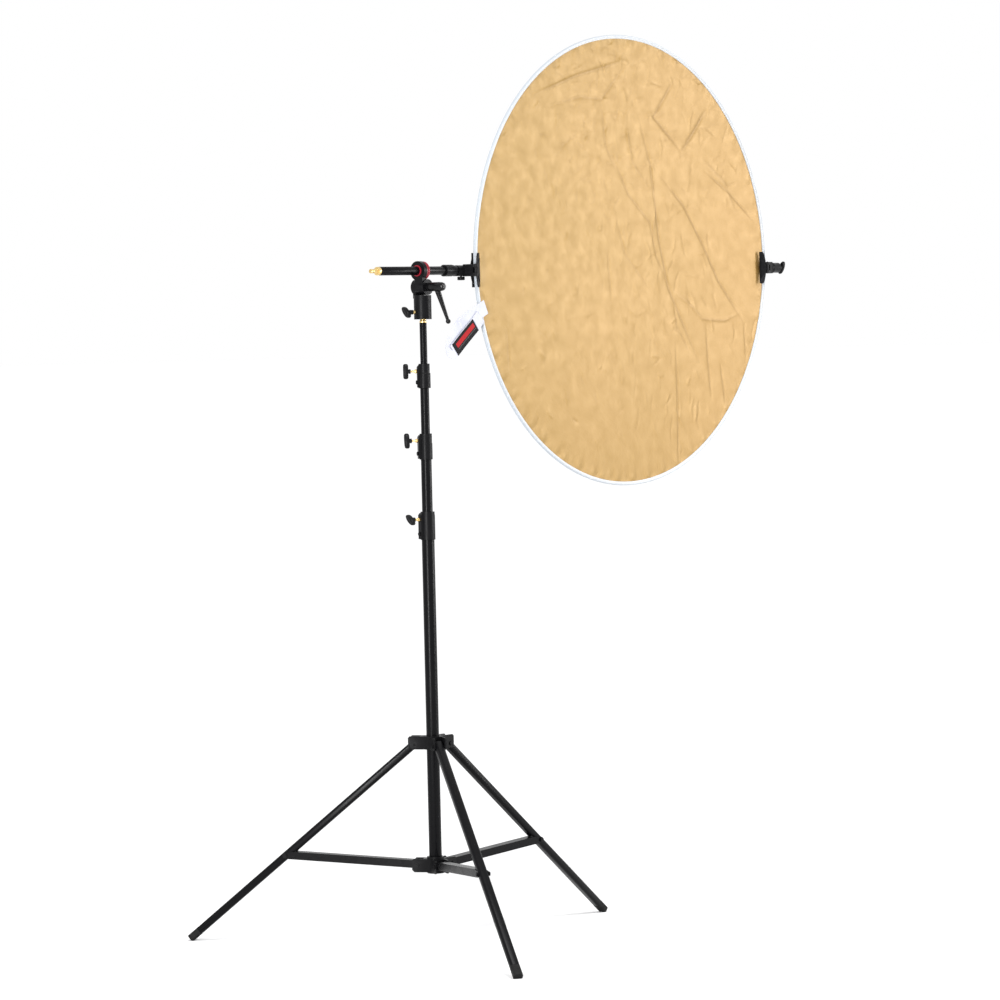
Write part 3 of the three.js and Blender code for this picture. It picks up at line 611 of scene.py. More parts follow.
def make_lock_collars():
    for n, c in enumerate(COLLARS, 1):
        body = lathe([
            (c["upper"], c["z0"]), (c["low_r"], c["z0"]), (c["low_r"], c["step"]),
            (c["up_r"], c["step"] + 2), (c["up_r"], c["z1"]), (c["upper"], c["z1"]),
        ])
        face = [(0, c["z0"] + 2), (c["boss"], c["z0"] + 2), (c["boss"], c["z1"] - 8),
                (c["boss"] - 4, c["z1"] - 3), (0, c["z1"] - 3)]
        boss = moved(plate_xz(face, -7.5, 7.5), turn(c["azimuth"], "Z"))
        head = c["boss"] + 3.4
        bolt = lathe([(0, 0), (5.2, 0), (5.2, head - 0.8), (4.4, head), (0, head)], 32)
        bolt = outward(bolt, c["z0"] + 15, c["azimuth"])
        socket = outward(rod(2.5, c["boss"] + 1.2, c["boss"] + 6, segments=6), c["z0"] + 15, c["azimuth"])
        screw = outward(rod(SCREW_HOLE_R, 2, c["boss"] + 10, segments=32), c["knob_z"], c["azimuth"])
        cuts = [rod(c["lower"] + 0.3, c["z0"] - 5, c["top"] + 0.3),
                rod(c["upper"] + 0.35, c["z0"] - 5, c["z1"] + 5), screw, socket]
        piece(f"lock_collar_{n}_casting", f"lock_collar_{n}", c["body"], "casting",
              [body, boss, bolt], cuts, bevel=0.6)


THREAD_PITCH = 1.25


def threaded(r, z0, z1):
    """A rod along Z whose surface has the grooves of a thread."""
    profile = [(0, z0), (r * 0.8, z0)]
    z = z0 + 0.4
    while z < z1 - THREAD_PITCH:
        profile += [(r * 0.86, z), (r, z + THREAD_PITCH * 0.45)]
        z += THREAD_PITCH
    return lathe(profile + [(r * 0.9, z1), (0, z1)], 32)


def make_knob(node, screw, body, z, azimuth, reach, wing_turn, tip, seat, neck_long=12):
    """An oval wing on a neck, with its brass screw and nut; local Z points away from the column."""
    matrix = place(0, 0, z) @ turn(azimuth, "Z") @ turn(90, "Y")
    wing = shift(moved(pillow(KNOB_LONG, KNOB_DEEP, KNOB_THICK, KNOB_ROUND), turn(wing_turn, "Z")), z=reach)
    foot = reach - neck_long
    neck = lathe([(0, foot), (6, foot), (6, reach - 9), (4.4, reach - 5), (4.4, reach), (0, reach)], 40)
    bore = rod(3.1, foot - 8, reach - 3, segments=24)
    piece(f"{node}_wing", node, body, "plastic", [wing, neck], [bore], matrix, bevel=0.35)
    nut = rod(NUT_R, seat + 0.6, seat + 5.1, segments=6)
    collar = rod(4.4, seat + 4.8, seat + 6, segments=32)
    thread = threaded(2.8, tip, reach - 3.4)
    piece(f"{screw}_thread", screw, body, "brass", [thread, nut, collar], (), matrix, bevel=0.15)


def make_knobs():
    for n, c in enumerate(COLLARS, 1):
        make_knob(f"lock_knob_{n}", f"knob_screw_{n}", f"knob_{n}", c["knob_z"], c["azimuth"], c["reach"],
                  c["turn"], c["lower"] + 0.8, c["boss"])
    make_knob("spider_knob", "spider_screw", "spider_knob", **SPIDER_KNOB)
    make_knob("socket_knob", "socket_screw", "socket_knob", **SOCKET_KNOB)


def make_top_spigot():
    low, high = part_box("top_spigot")
    foot, top = low.z / MM, high.z / MM
    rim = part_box("riser_3")[1].z / MM + 0.3
    solid = lathe([(0, foot), (6.9, foot), (6.9, rim), (9, rim), (9, rim + 3.7), (7.4, rim + 5.2),
                   (7.4, SOCKET_Z0 + 2), (7.6, SOCKET_Z0 + 4), (7.6, top - 2.5), (6.4, top), (0, top)])
    piece("top_spigot_turned", "top_spigot", "riser_3", "brass", [solid], bevel=0.3)


# ---- spiders, braces and legs ------------------------------------------------------------------


def spider_arm(pivot_r, pivot_z, low, high, slot_wide, cheek):
    """One arm that points along +X, with a bolt boss across its end."""
    wide = slot_wide / 2 + cheek
    end = pivot_r + 11
    side = [(12, low), (end - 6, low), (end, low + 6), (end, high - 4), (end - 4, high), (12, high)]
    boss = shift(along_y(rod(5.5, -wide - 2.6, wide + 2.6, segments=32)), pivot_r, 0, pivot_z)
    return [plate_xz(side, -wide, wide), boss]


def make_spider(name, node, body, hub, pivot, heights, slot_wide, cheek, slot_x, extras=(), holes=()):
    adds = [rod(SPIDER_HUB_R, *hub)]
    cuts = [rod(SPIDER_BORE_R, hub[0] - 5, hub[1] + 5), *holes]
    for azimuth in LEG_AZIMUTHS:
        arm = spider_arm(*pivot, *heights, slot_wide, cheek)
        adds += [moved(s, turn(azimuth, "Z")) for s in arm]
        slot = block(slot_x, pivot[0] + 16, -slot_wide / 2, slot_wide / 2, heights[0] - 5, heights[1] + 5)
        cuts.append(moved(slot, turn(azimuth, "Z")))
    adds += extras
    piece(name, node, body, "casting", adds, cuts, bevel=0.9)


def make_spiders():
    make_spider("lower_spider_casting", "lower_spider", "column", hub=(179, 221), pivot=(47, 200),
                heights=(182, 216), slot_wide=28.8, cheek=3.6, slot_x=30)
    knob_z, azimuth, seat = SPIDER_KNOB["z"], SPIDER_KNOB["azimuth"], SPIDER_KNOB["seat"]
    boss = outward(rod(7, 16, seat, segments=40), knob_z, azimuth)
    hole = outward(rod(3.4, 5, seat + 5, segments=24), knob_z, azimuth)
    make_spider("upper_spider_casting", "upper_spider", "leg_collar", hub=(495.5, 530), pivot=UPPER_PIVOT,
                heights=(496, 529.5), slot_wide=24.8, cheek=3.8, slot_x=33, extras=[boss], holes=[hole])


def leg_bar(wide, deep, r, x0, x1):
    """A rounded bar along X, wide across Y and deep across Z."""
    return moved(prism(rounded_rectangle(deep, wide, r), x0, x1), turn(90, "Y"))


def solid_of(obj):
    """Takes an object's mesh back as a solid and removes the object."""
    points = [v.co.copy() for v in obj.data.vertices]
    faces = [list(p.vertices) for p in obj.data.polygons]
    bpy.data.objects.remove(obj)
    return points, faces


def leg_cap_groove(x):
    """A shallow ring cut round the foot."""
    ring = leg_bar(LEG_WIDE + 4, LEG_DEEP + 4, 7, x, x + 1.3)
    core = leg_bar(LEG_WIDE - 0.6, LEG_DEEP - 1, 6, x - 1, x + 2.3)
    return solid_of(fused([ring], [core]))


def make_legs():
    """Each leg is built about its hinge, with local X down the leg; the foot is cut level with the floor."""
    hinge = Matrix.Translation(Vector((UPPER_PIVOT[0], 0, UPPER_PIVOT[1])) * MM)
    inner = leg_bar(LEG_WIDE - 2 * LEG_WALL, LEG_DEEP - 2 * LEG_WALL, 5.4, -30, LEG_TUBE_END + 10)
    outer = leg_bar(LEG_WIDE, LEG_DEEP, 7, -9, LEG_TUBE_END)
    cap = leg_bar(LEG_WIDE, LEG_DEEP, 6.6, LEG_TUBE_END + 0.3, LEG_CAP_END)
    plug = leg_bar(LEG_WIDE - 4.4, LEG_DEEP - 4.4, 5, LEG_TUBE_END - 24, LEG_TUBE_END + 2)
    floor_at = UPPER_PIVOT[1] / math.sin(math.radians(LEG_SLOPE))
    below = shift(moved(block(-100, 100, -40, 40, -60, 0), turn(-LEG_SLOPE, "Y")), floor_at)
    foot_cuts = [below, *(leg_cap_groove(LEG_TUBE_END + x) for x in (7, 11, 15))]
    for n, azimuth in enumerate(LEG_AZIMUTHS, 1):
        matrix = place() @ turn(azimuth, "Z") @ hinge @ turn(LEG_SLOPE, "Y")
        tube, foot, body = f"leg_tube_{n}", f"leg_foot_{n}", f"leg_{n}"
        piece(f"{tube}_bar", tube, body, "bar", [outer], [inner], matrix, 0.4)
        piece(f"{foot}_cap", foot, body, "rubber", [cap, plug], foot_cuts, matrix, 0.5)


def refine_node(node, look, bevel):
    """A flat-sided CAD part keeps its mesh: its coplanar facets merge and its edges are softened."""
    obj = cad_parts[node]
    flat = obj.modifiers.new("flat", "DECIMATE")
    flat.decimate_type = "DISSOLVE"
    flat.angle_limit = math.radians(1)
    bevel_edges(obj, bevel * MM, SHARP)
    obj.data.materials.clear()
    obj.data.materials.append(LOOKS[look])
    obj.data.shade_smooth()
    obj.data.set_sharp_from_angle(angle=math.radians(SHARP))


def refine_nodes():
    for n in (1, 2, 3):
        refine_node(f"brace_{n}", "bar", 0.35)
        refine_node(f"brace_bolt_{n}", "steel", 0.2)
        refine_node(f"leg_bolt_{n}", "casting", 0.5)
    refine_node("column_end_plug", "plastic", 0.6)
    refine_node("left_jaw_pin", "black_steel", 0.2)
    refine_node("right_jaw_pin", "black_steel", 0.2)
    refine_node("rim_hoop", "steel", 0.2)


# ---- clamp head --------------------------------------------------------------------------------


def tilt_rod(r, y0, y1, segments=SEGMENTS):
    """A rod on the axis of the tilt joint."""
    return shift(along_y(rod(r, y0, y1, segments)), z=TILT_Z)


def boom_rod(r, x0, x1, segments=SEGMENTS):
    """A rod on the axis of the boom."""
    return shift(along_x(rod(r, x0, x1, segments)), z=BOOM_Z)


def make_socket():
    cup = rod(SOCKET_R, SOCKET_Z0, SOCKET_Z1)
    ear = tilt_rod(KNUCKLE_R, EAR_Y, EAR_Y + 12)
    post = block(-14, 14, EAR_Y, EAR_Y + 10, SOCKET_Z1 - 8, TILT_Z)
    screw = outward(rod(SCREW_HOLE_R, 2, 40, segments=24), SOCKET_KNOB["z"], SOCKET_KNOB["azimuth"])
    cuts = [rod(SPIGOT_BORE_R, SOCKET_Z0 - 5, SPIGOT_BORE_TOP), tilt_rod(TILT_BOLT_HOLE_R, 0, 40, 40), screw]
    piece("socket_casting", "socket_body", "head_socket", "casting", [cup, ear, post], cuts,
          bevel=1.2)


def make_tilt_body():
    inner_y = EAR_Y - 0.3
    knuckle = tilt_rod(KNUCKLE_R, -20, inner_y)
    ring = boom_rod(RING_R, RING_X0, RING_X1)
    side = [(-17, TILT_Z - 4), (17, TILT_Z - 4), (RING_X1, BOOM_Z - 20), (RING_X1, BOOM_Z), (-17, BOOM_Z)]
    neck = plate_xz(side, -17, inner_y)
    cuts = [tilt_rod(KNUCKLE_R + 1.5, inner_y + 0.05, 40), boom_rod(BUSH_R + 0.3, -40, 40),
            boom_rod(FLANGE_R + 1, RING_X1 + 0.05, 40), tilt_rod(TILT_BOLT_HOLE_R, -40, 40, 40)]
    piece("tilt_casting", "tilt_body", "tilt_head", "casting", [knuckle, ring, neck], cuts,
          bevel=1.0)


def make_tilt_bolt():
    seat, head = EAR_Y + 12.4, EAR_Y + 19
    shaft = lathe([(0, -66), (4.8, -66), (4.8, seat), (9, seat), (9, head), (0, head)], 48)
    drive = rod(4, EAR_Y + 15.5, EAR_Y + 25, segments=6)
    matrix = place(0, 0, TILT_Z) @ turn(-90, "X")
    piece("tilt_bolt_turned", "tilt_bolt", "tilt_bolt", "black_steel", [shaft], [drive], matrix, 0.6)


def make_lever():
    """A domed hub round the bolt and a tapered arm that ends in a ball."""
    hub = along_y(lathe([(0, -78), (6, -77), (9.6, -73), (11.2, -67), (11.8, -56), (11.6, -40), (10.6, -20.8),
                         (0, -20.8)]))
    start, end = Vector(LEVER_FOOT), Vector(LEVER_BALL)
    length = (end - start).length
    aim = (end - start).to_track_quat("Z", "Y").to_matrix().to_4x4()
    arm_profile = [(0, 0), (7.6, 0), (6.2, length * 0.35), (4.9, length * 0.7), (4.2, length * 0.93),
                   (4.2, length), (0, length)]
    arm = moved(lathe(arm_profile, 48), Matrix.Translation(start) @ aim)
    angles = np.linspace(-math.pi / 2, math.pi / 2, 19)[1:-1]
    ball_profile = [(LEVER_BALL_R * math.cos(a), LEVER_BALL_R * math.sin(a)) for a in angles]
    ball_profile = [(0, -LEVER_BALL_R), *ball_profile, (0, LEVER_BALL_R)]
    ball = moved(lathe(ball_profile, 36), Matrix.Translation(end) @ aim)
    hole = along_y(rod(5.1, -66.6, 0, segments=40))
    piece("clamp_lever_handle", "clamp_lever", "clamp_lever", "gloss", [hub, arm, ball], [hole],
          place(0, 0, TILT_Z), 0.5)


# ---- boom --------------------------------------------------------------------------------------


def boom_place():
    return place(0, 0, BOOM_Z) @ turn(90, "Y")


def make_boom():
    """Everything here is turned about the boom: local Z runs along it."""
    matrix = boom_place()
    bushing = lathe([
        (OUTER_R + 0.3, RING_X0 - 3), (BUSH_R, RING_X0 - 3), (BUSH_R, FLANGE_X0), (FLANGE_R, FLANGE_X0),
        (FLANGE_R, -1.0), (FLANGE_R - 1.8, -0.6), (FLANGE_R - 1.8, 1.4), (FLANGE_R, 1.8),
        (FLANGE_R, FLANGE_X1), (OUTER_R + 0.3, FLANGE_X1),
    ])
    piece("boom_bushing_red", "boom_bushing", "boom_bushing", "red", [bushing], (), matrix, 0.5)
    outer = lathe(tube_profile(OUTER_R, OUTER_BORE, OUTER_X0, OUTER_X1))
    piece("boom_outer_tube_drawn", "boom_outer_tube", "boom", "tube", [outer], (), matrix, 0.4)
    inner = lathe(tube_profile(INNER_R, INNER_BORE, INNER_X0, INNER_X1))
    piece("boom_inner_tube_drawn", "boom_inner_tube", "boom_inner", "tube", [inner], (), matrix,
          0.4)
    tail = lathe([
        (0, TAIL_TIP), (TAIL_R, TAIL_TIP), (TAIL_R, TAIL_TIP + 8), (TAIL_R - 1, TAIL_TIP + 9.5),
        (TAIL_R - 1, TAIL_TIP + 12), (TAIL_R, TAIL_TIP + 13.5), (TAIL_R, TAIL_STEP),
        (OUTER_R - 0.3, TAIL_STEP), (OUTER_R - 0.3, OUTER_X0 - 0.3), (OUTER_BORE - 0.3, OUTER_X0 - 0.3),
        (OUTER_BORE - 0.3, TAIL_END), (0, TAIL_END),
    ])
    piece("tail_spigot_turned", "tail_spigot", "boom", "brass", [tail], (), matrix, 0.7)
    make_twist_collar(matrix)


def make_twist_collar(matrix):
    core = lathe([
        (OUTER_R + 0.3, TWIST_X0), (TWIST_R - 1.2, TWIST_X0), (TWIST_R - 1.2, TWIST_X1 - 9),
        (INNER_R + 3.5, TWIST_X1), (INNER_R + 0.3, TWIST_X1), (INNER_R + 0.3, OUTER_X1 + 0.3),
        (OUTER_R + 0.3, OUTER_X1 + 0.3),
    ])
    rib = block(TWIST_R - 3.5, TWIST_R - 0.1, -1.5, 1.5, TWIST_X0 + 4, TWIST_X1 - 13)
    ribs = [moved(rib, turn(i * 360 / TWIST_RIBS, "Z")) for i in range(TWIST_RIBS)]
    ring = lathe(tube_profile(TWIST_R, OUTER_R + 1, TWIST_X0 + 1, TWIST_X0 + 4.5))
    solids = [core, *ribs, ring]
    piece("twist_collar_grip", "boom_twist_collar", "twist_collar", "plastic", solids, (), matrix,
          0.4)


# ---- clips -------------------------------------------------------------------------------------

EAR_GAP = 7.5
PIN_HOLE_R = 1.9
LEFT_X0, LEFT_X1 = 128, 165.5
RIGHT_X0, RIGHT_X1 = 1370, 1463.5
CLIP_SCREW_X = 147
GRIP_NOTCHES = 16


def front_jaw_solids():
    """The front jaw about its hinge: the pin is local Z and the plate reaches along +X."""
    half, reach = JAW_TALL / 2, 25
    upper = [(reach, half - 2), (reach - 2, half), (17, half), (14, half - 1.5), (10, half - 9), (6.5, 19)]
    face = [(x, -z) for x, z in reversed(upper)] + upper
    plate = plate_xz(face, -1.5, 1.5)
    arm = block(0, 9, -1.5, 1.5, -EAR_GAP + 0.3, EAR_GAP - 0.3)
    knuckle = rod(4.2, -EAR_GAP + 0.3, EAR_GAP - 0.3, segments=40)
    rib = plate_xz([(7, -12), (reach - 3, -30), (reach - 3, 30), (7, 12)], -3.1, 0)
    return [plate, arm, knuckle, rib], [rod(PIN_HOLE_R, -20, 20, segments=24)]


def make_front_jaw(name, node, body, hinge_x, inward):
    spin = JAW_TILT if inward > 0 else 180 - JAW_TILT
    matrix = place(hinge_x, HINGE_Y, BOOM_Z) @ turn(spin, "Z")
    adds, cuts = front_jaw_solids()
    if inward < 0:
        flip = Matrix.Diagonal((1, -1, 1, 1))
        adds = [moved(s, flip) for s in adds]
    piece(name, node, body, "plastic", adds, cuts, matrix, 0.45)


def counter_clockwise(corners):
    """The outline, turned round if it runs clockwise."""
    pairs = zip(corners, corners[1:] + corners[:1])
    twice_area = sum(a[0] * b[1] - b[0] * a[1] for a, b in pairs)
    return corners[::-1] if twice_area < 0 else corners


def clip_arm(low, high, hinge_x, inward):
    """The arm from the tube past the rim to the hinge in front: (solids, cuts)."""
    web = WEB_TALL / 2
    arm = block(low, high, -39.4, -6, -web, web)
    ear = shift(rod(4.8, -web, web, segments=40), hinge_x, HINGE_Y)
    near, far = (high, low) if inward > 0 else (low, high)
    corners = [(near, -37), (far, -37), (far, -43), (hinge_x, HINGE_Y - 4.6), (hinge_x, HINGE_Y + 4.6),
               (near, -39.4)]
    link = prism(counter_clockwise(corners), -web, web)
    room = shift(rod(6, -EAR_GAP, EAR_GAP, segments=40), hinge_x, HINGE_Y)
    swing = block(hinge_x - 10, hinge_x + 10, HINGE_Y - 20, HINGE_Y + 6, -EAR_GAP, EAR_GAP)
    pin = shift(rod(PIN_HOLE_R, -30, 30, segments=24), hinge_x, HINGE_Y)
    return [arm, ear, link], [room, swing, pin]


def rear_jaw(back, front, inward):
    """The fixed plate behind the rim, from the arm to its front edge, wide at the rim."""
    half, web, shoulder = JAW_TALL / 2, WEB_TALL / 2, 30
    heel, wide = front - inward * 19, front - inward * 14.5
    face = [(back, -web), (heel, -web), (wide, -shoulder), (wide, -half), (front, -half), (front, half),
            (wide, half), (wide, shoulder), (heel, web), (back, web)]
    start = DISC_Y + RIM_DEEP / 2 + 0.3
    return plate_xz(counter_clockwise(face), start, start + 3.2)


def make_left_clip():
    arm_x, web = LEFT_X0 + 20, WEB_TALL / 2
    arm, arm_cuts = clip_arm(arm_x, arm_x + 14, LEFT_HINGE_X, 1)
    sleeve = along_x(rod(13.4, LEFT_X0, LEFT_X1))
    foot = block(LEFT_X0 + 1, LEFT_X1, -12, 11, -14.4, 0)
    shoulder = block(arm_x, LEFT_X1, -23, -6, -web, web)
    adds = [sleeve, foot, shoulder, *arm, rear_jaw(arm_x, 182, 1)]
    screw_hole = shift(rod(3.4, -20, 0, segments=24), CLIP_SCREW_X)
    cuts = [along_x(rod(INNER_R + 0.3, 100, 200)), screw_hole, *arm_cuts]
    piece("left_clip_moulding", "left_clip_body", "left_clip", "plastic", adds, cuts,
          place(0, 0, BOOM_Z), 0.5)
    make_front_jaw("left_front_jaw_plate", "left_front_jaw", "left_jaw", LEFT_HINGE_X, 1)
    screw = lathe([(0, -25), (8.4, -25), (9.6, -23.6), (9.6, -17.2), (8.4, -15.9), (2.8, -15.9), (2.8, -10.1),
                   (0, -10.1)])
    notch = shift(rod(0.9, -27, -15, segments=8), 9.8)
    notches = [moved(notch, turn(i * 360 / GRIP_NOTCHES, "Z")) for i in range(GRIP_NOTCHES)]
    piece("left_thumb_screw_head", "left_thumb_screw", "left_screw", "plastic", [screw], notches,
          place(CLIP_SCREW_X, 0, BOOM_Z), 0.25)


def make_right_clip():
    x0, x1 = RIGHT_X0, RIGHT_X1
    arm, arm_cuts = clip_arm(x0, x0 + 13, RIGHT_HINGE_X, -1)
    sleeve = along_x(lathe([(0, x0), (15.2, x0), (15.6, x0 + 40), (15.6, x0 + 62), (14, x0 + 68),
                            (14, x1 - 3), (11, x1), (0, x1)]))
    groove = along_x(lathe(tube_profile(18, 14.7, x0 + 44, x0 + 45.6)))
    grooves = [shift(groove, i * 4.5) for i in range(4)]
    bores = [along_x(rod(INNER_R + 0.3, 1300, INNER_X1 + 2)), along_x(rod(3.4, 1440, 1480, segments=24))]
    piece("right_clip_moulding", "right_clip_body", "boom_inner", "plastic",
          [sleeve, *arm, rear_jaw(x0 + 13, 1334, -1)], [*bores, *arm_cuts, *grooves],
          place(0, 0, BOOM_Z), 0.5)
    make_front_jaw("right_front_jaw_plate", "right_front_jaw", "right_jaw", RIGHT_HINGE_X, -1)
    wing = shift(moved(pillow(37, 15, KNOB_THICK, 5), turn(23, "Z")), z=END_KNOB_X)
    stem = rod(6, x1 + 0.3, END_KNOB_X, segments=40)
    screw = rod(3, 1442, END_KNOB_X, segments=32)
    solids = [wing, stem, screw]
    piece("end_knob_wing", "end_knob", "end_knob", "plastic", solids, (), boom_place(), 0.35)


# ---- reflector ---------------------------------------------------------------------------------

FABRIC_THICK = 0.9
GRID = 340

# Folds kept by the fabric: points across and up from the middle, in radii, then depth
# (a valley is negative) and half width in millimetres, both scaled by the two values below.
FOLD_DEPTH, FOLD_WIDTH = 0.85, 0.7
FOLDS = [
    ([(0.25, 0.39), (0.42, 0.25), (0.55, 0.08), (0.67, -0.10), (0.86, -0.30)], -2.2, 6),
    ([(0.58, 0.41), (0.76, 0.31), (0.94, 0.18)], -1.8, 5),
    ([(0.60, 0.69), (0.51, 0.59), (0.41, 0.49)], -3.0, 9),
    ([(0.39, 0.84), (0.22, 0.65), (0.31, 0.58), (0.41, 0.50)], -2.0, 7),
    ([(0.12, 0.64), (0.19, 0.43), (0.24, 0.10), (0.30, -0.12), (0.41, -0.30), (0.52, -0.47)], -2.2, 6),
    ([(-0.09, 0.50), (0.03, 0.30), (0.18, 0.17), (0.22, 0.02), (0.33, -0.15)], -1.6, 6),
    ([(0.20, 0.42), (0.22, 0.24), (0.185, 0.07)], 1.4, 5),
    ([(0.35, -0.38), (0.355, -0.62), (0.35, -0.92)], -1.8, 6),
    ([(0.57, -0.30), (0.58, -0.46), (0.60, -0.64)], -1.6, 7),
    ([(0.67, -0.48), (0.70, -0.66)], -1.6, 6),
    ([(0.85, -0.30), (0.86, -0.46)], -1.4, 6),
    ([(-0.12, 0.05), (-0.10, -0.19)], -1.0, 5),
    ([(-0.06, 0.20), (0.0, 0.03), (0.17, -0.13)], -1.2, 5),
    ([(0.33, -0.14), (0.45, -0.20), (0.54, -0.27), (0.70, -0.28), (0.81, -0.25)], 1.5, 6),
    ([(0.34, -0.20), (0.36, -0.30), (0.45, -0.42)], -1.5, 5),
    ([(-0.81, -0.29), (-0.80, -0.48)], -1.2, 7),
    ([(-0.60, 0.73), (-0.32, 0.82), (0.03, 0.90)], 1.8, 6),
    ([(-0.50, 0.68), (-0.28, 0.73), (-0.14, 0.72), (0.03, 0.88)], -1.4, 6),
    ([(0.55, 0.47), (0.72, 0.36), (0.80, 0.22)], 1.0, 10),
    ([(-0.14, 0.70), (-0.12, 0.52), (-0.05, 0.40)], -1.2, 6),
    ([(0.02, 0.62), (0.06, 0.44), (0.17, 0.33)], 1.1, 6),
]

# Families of small wrinkles: middle, spread, how many, direction and its spread in degrees, length.
WRINKLES = [
    ((0.05, 0.55), (0.28, 0.26), 70, 75, 45, 0.10),
    ((-0.25, 0.55), (0.22, 0.18), 45, 20, 25, 0.09),
    ((-0.15, 0.15), (0.22, 0.25), 45, 100, 35, 0.08),
    ((0.45, 0.72), (0.22, 0.14), 34, 48, 25, 0.12),
    ((0.55, 0.40), (0.18, 0.16), 26, 60, 50, 0.09),
    ((0.35, -0.20), (0.16, 0.16), 40, 115, 30, 0.12),
    ((0.50, -0.62), (0.26, 0.20), 40, 92, 16, 0.14),
    ((-0.10, -0.35), (0.35, 0.22), 30, 100, 60, 0.06),
    ((-0.05, 0.88), (0.35, 0.06), 26, 15, 25, 0.10),
    ((-0.45, -0.45), (0.35, 0.3), 18, 120, 50, 0.07),
]


def disc_grid(count):
    """Points of a square grid laid evenly over a disc of radius 1, with its faces."""
    steps = np.linspace(-1, 1, count + 1)
    x, y = np.meshgrid(steps, steps, indexing="xy")
    points = np.stack([x * np.sqrt(1 - y * y / 2), y * np.sqrt(1 - x * x / 2)], -1).reshape(-1, 2)
    return points, grid_faces(count + 1, count + 1)


def fold_field(points, path, width):
    """How near each point is to a path, from 1 on it to 0 away from it, fading at the path's ends."""
    path = np.array(path, float)
    lengths = np.linalg.norm(np.diff(path, axis=0), axis=1)
    total = lengths.sum()
    near = np.zeros(len(points))
    done = 0.0
    for a, b, length in zip(path, path[1:], lengths):
        t = np.clip(((points - a) @ (b - a)) / length ** 2, 0, 1)
        away = np.linalg.norm(points - (a + t[:, None] * (b - a)), axis=1) * DISC_R
        along = (done + t * length) / total
        fade = np.clip(np.minimum(along, 1 - along) * 5, 0, 1)
        near = np.maximum(near, np.exp(-np.abs(away / width) ** 1.5) * (0.25 + 0.75 * fade))
        done += length
    return near


def fabric_relief(points):
    """Height of the fabric towards the front, in millimetres, and how deeply it is folded, which sets the
    painted shade along the folds and in the wrinkle valleys.
    """
    rng = random.Random(7)
    height = np.zeros(len(points))
    folded = np.zeros(len(points))
    for path, depth, width in FOLDS:
        near = fold_field(points, path, width * FOLD_WIDTH)
        height += depth * FOLD_DEPTH * near
        folded = np.maximum(folded, near ** 2 * min(1.0, abs(depth) / 2.2))
    for middle, spread, count, heading, fan, long in WRINKLES:
        for _ in range(count):
            centre = np.array([rng.gauss(middle[0], spread[0]), rng.gauss(middle[1], spread[1])])
            angle = math.radians(rng.gauss(heading, fan))
            half = long * rng.uniform(0.3, 1.0) / 2
            step = np.array([math.cos(angle), math.sin(angle)]) * half
            bend = np.array([-step[1], step[0]]) * rng.uniform(-0.35, 0.35)
            depth = rng.uniform(0.35, 1.0) * rng.choice((-1, 1))
            near = fold_field(points, [centre - step, centre + bend, centre + step], rng.uniform(3.2, 5.2))
            height += depth * near
            folded = np.maximum(folded, near ** 2 * max(0, -depth) * 0.35)
    radius = np.linalg.norm(points, axis=1)
    angle = np.arctan2(points[:, 1], points[:, 0])
    edge = np.clip((radius - 0.90) / 0.09, 0, 1) ** 2
    height += edge * (0.8 * np.sin(angle * 61 + 2 * np.sin(angle * 3)) + 0.5 * np.sin(angle * 113 + 1))
    height += 2.0 * np.sin(points[:, 0] * 3.1 + 0.6) * np.sin(points[:, 1] * 2.6 + 0.4) * (1 - radius ** 2)
    height *= np.clip((1 - radius) / 0.02, 0, 1)
    return height, folded


def make_fabric():
    """The stretched gold sheet with a white backing. Local Y is the disc's axis."""
    points, faces = disc_grid(GRID)
    height, folded = fabric_relief(points)
    vertices = np.column_stack([points[:, 0] * FABRIC_R, -height, points[:, 1] * FABRIC_R]) * MM
    mesh = new_mesh("reflector_sheet", vertices.tolist(), faces)
    # The fold weights darken the gold along the folds: painted shade.
    attribute = mesh.attributes.new("fold", "FLOAT", "POINT")
    attribute.data.foreach_set("value", (folded * 0.55).astype(np.float32))
    mesh.materials.append(LOOKS["gold"])
    mesh.materials.append(LOOKS["back"])
    obj = linked("reflector_sheet", mesh)
    thick = obj.modifiers.new("cloth", "SOLIDIFY")
    thick.thickness = FABRIC_THICK * MM
    thick.offset = -1
    thick.material_offset = 1
    thick.material_offset_rim = 1
    baked(obj)
    obj.data.shade_smooth()
    obj.data.set_sharp_from_angle(angle=math.radians(60))
    obj.matrix_world = place(DISC_X, DISC_Y - FABRIC_THICK / 2, DISC_Z)
    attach(obj, "reflector")
    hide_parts("reflector_fabric")
    return obj


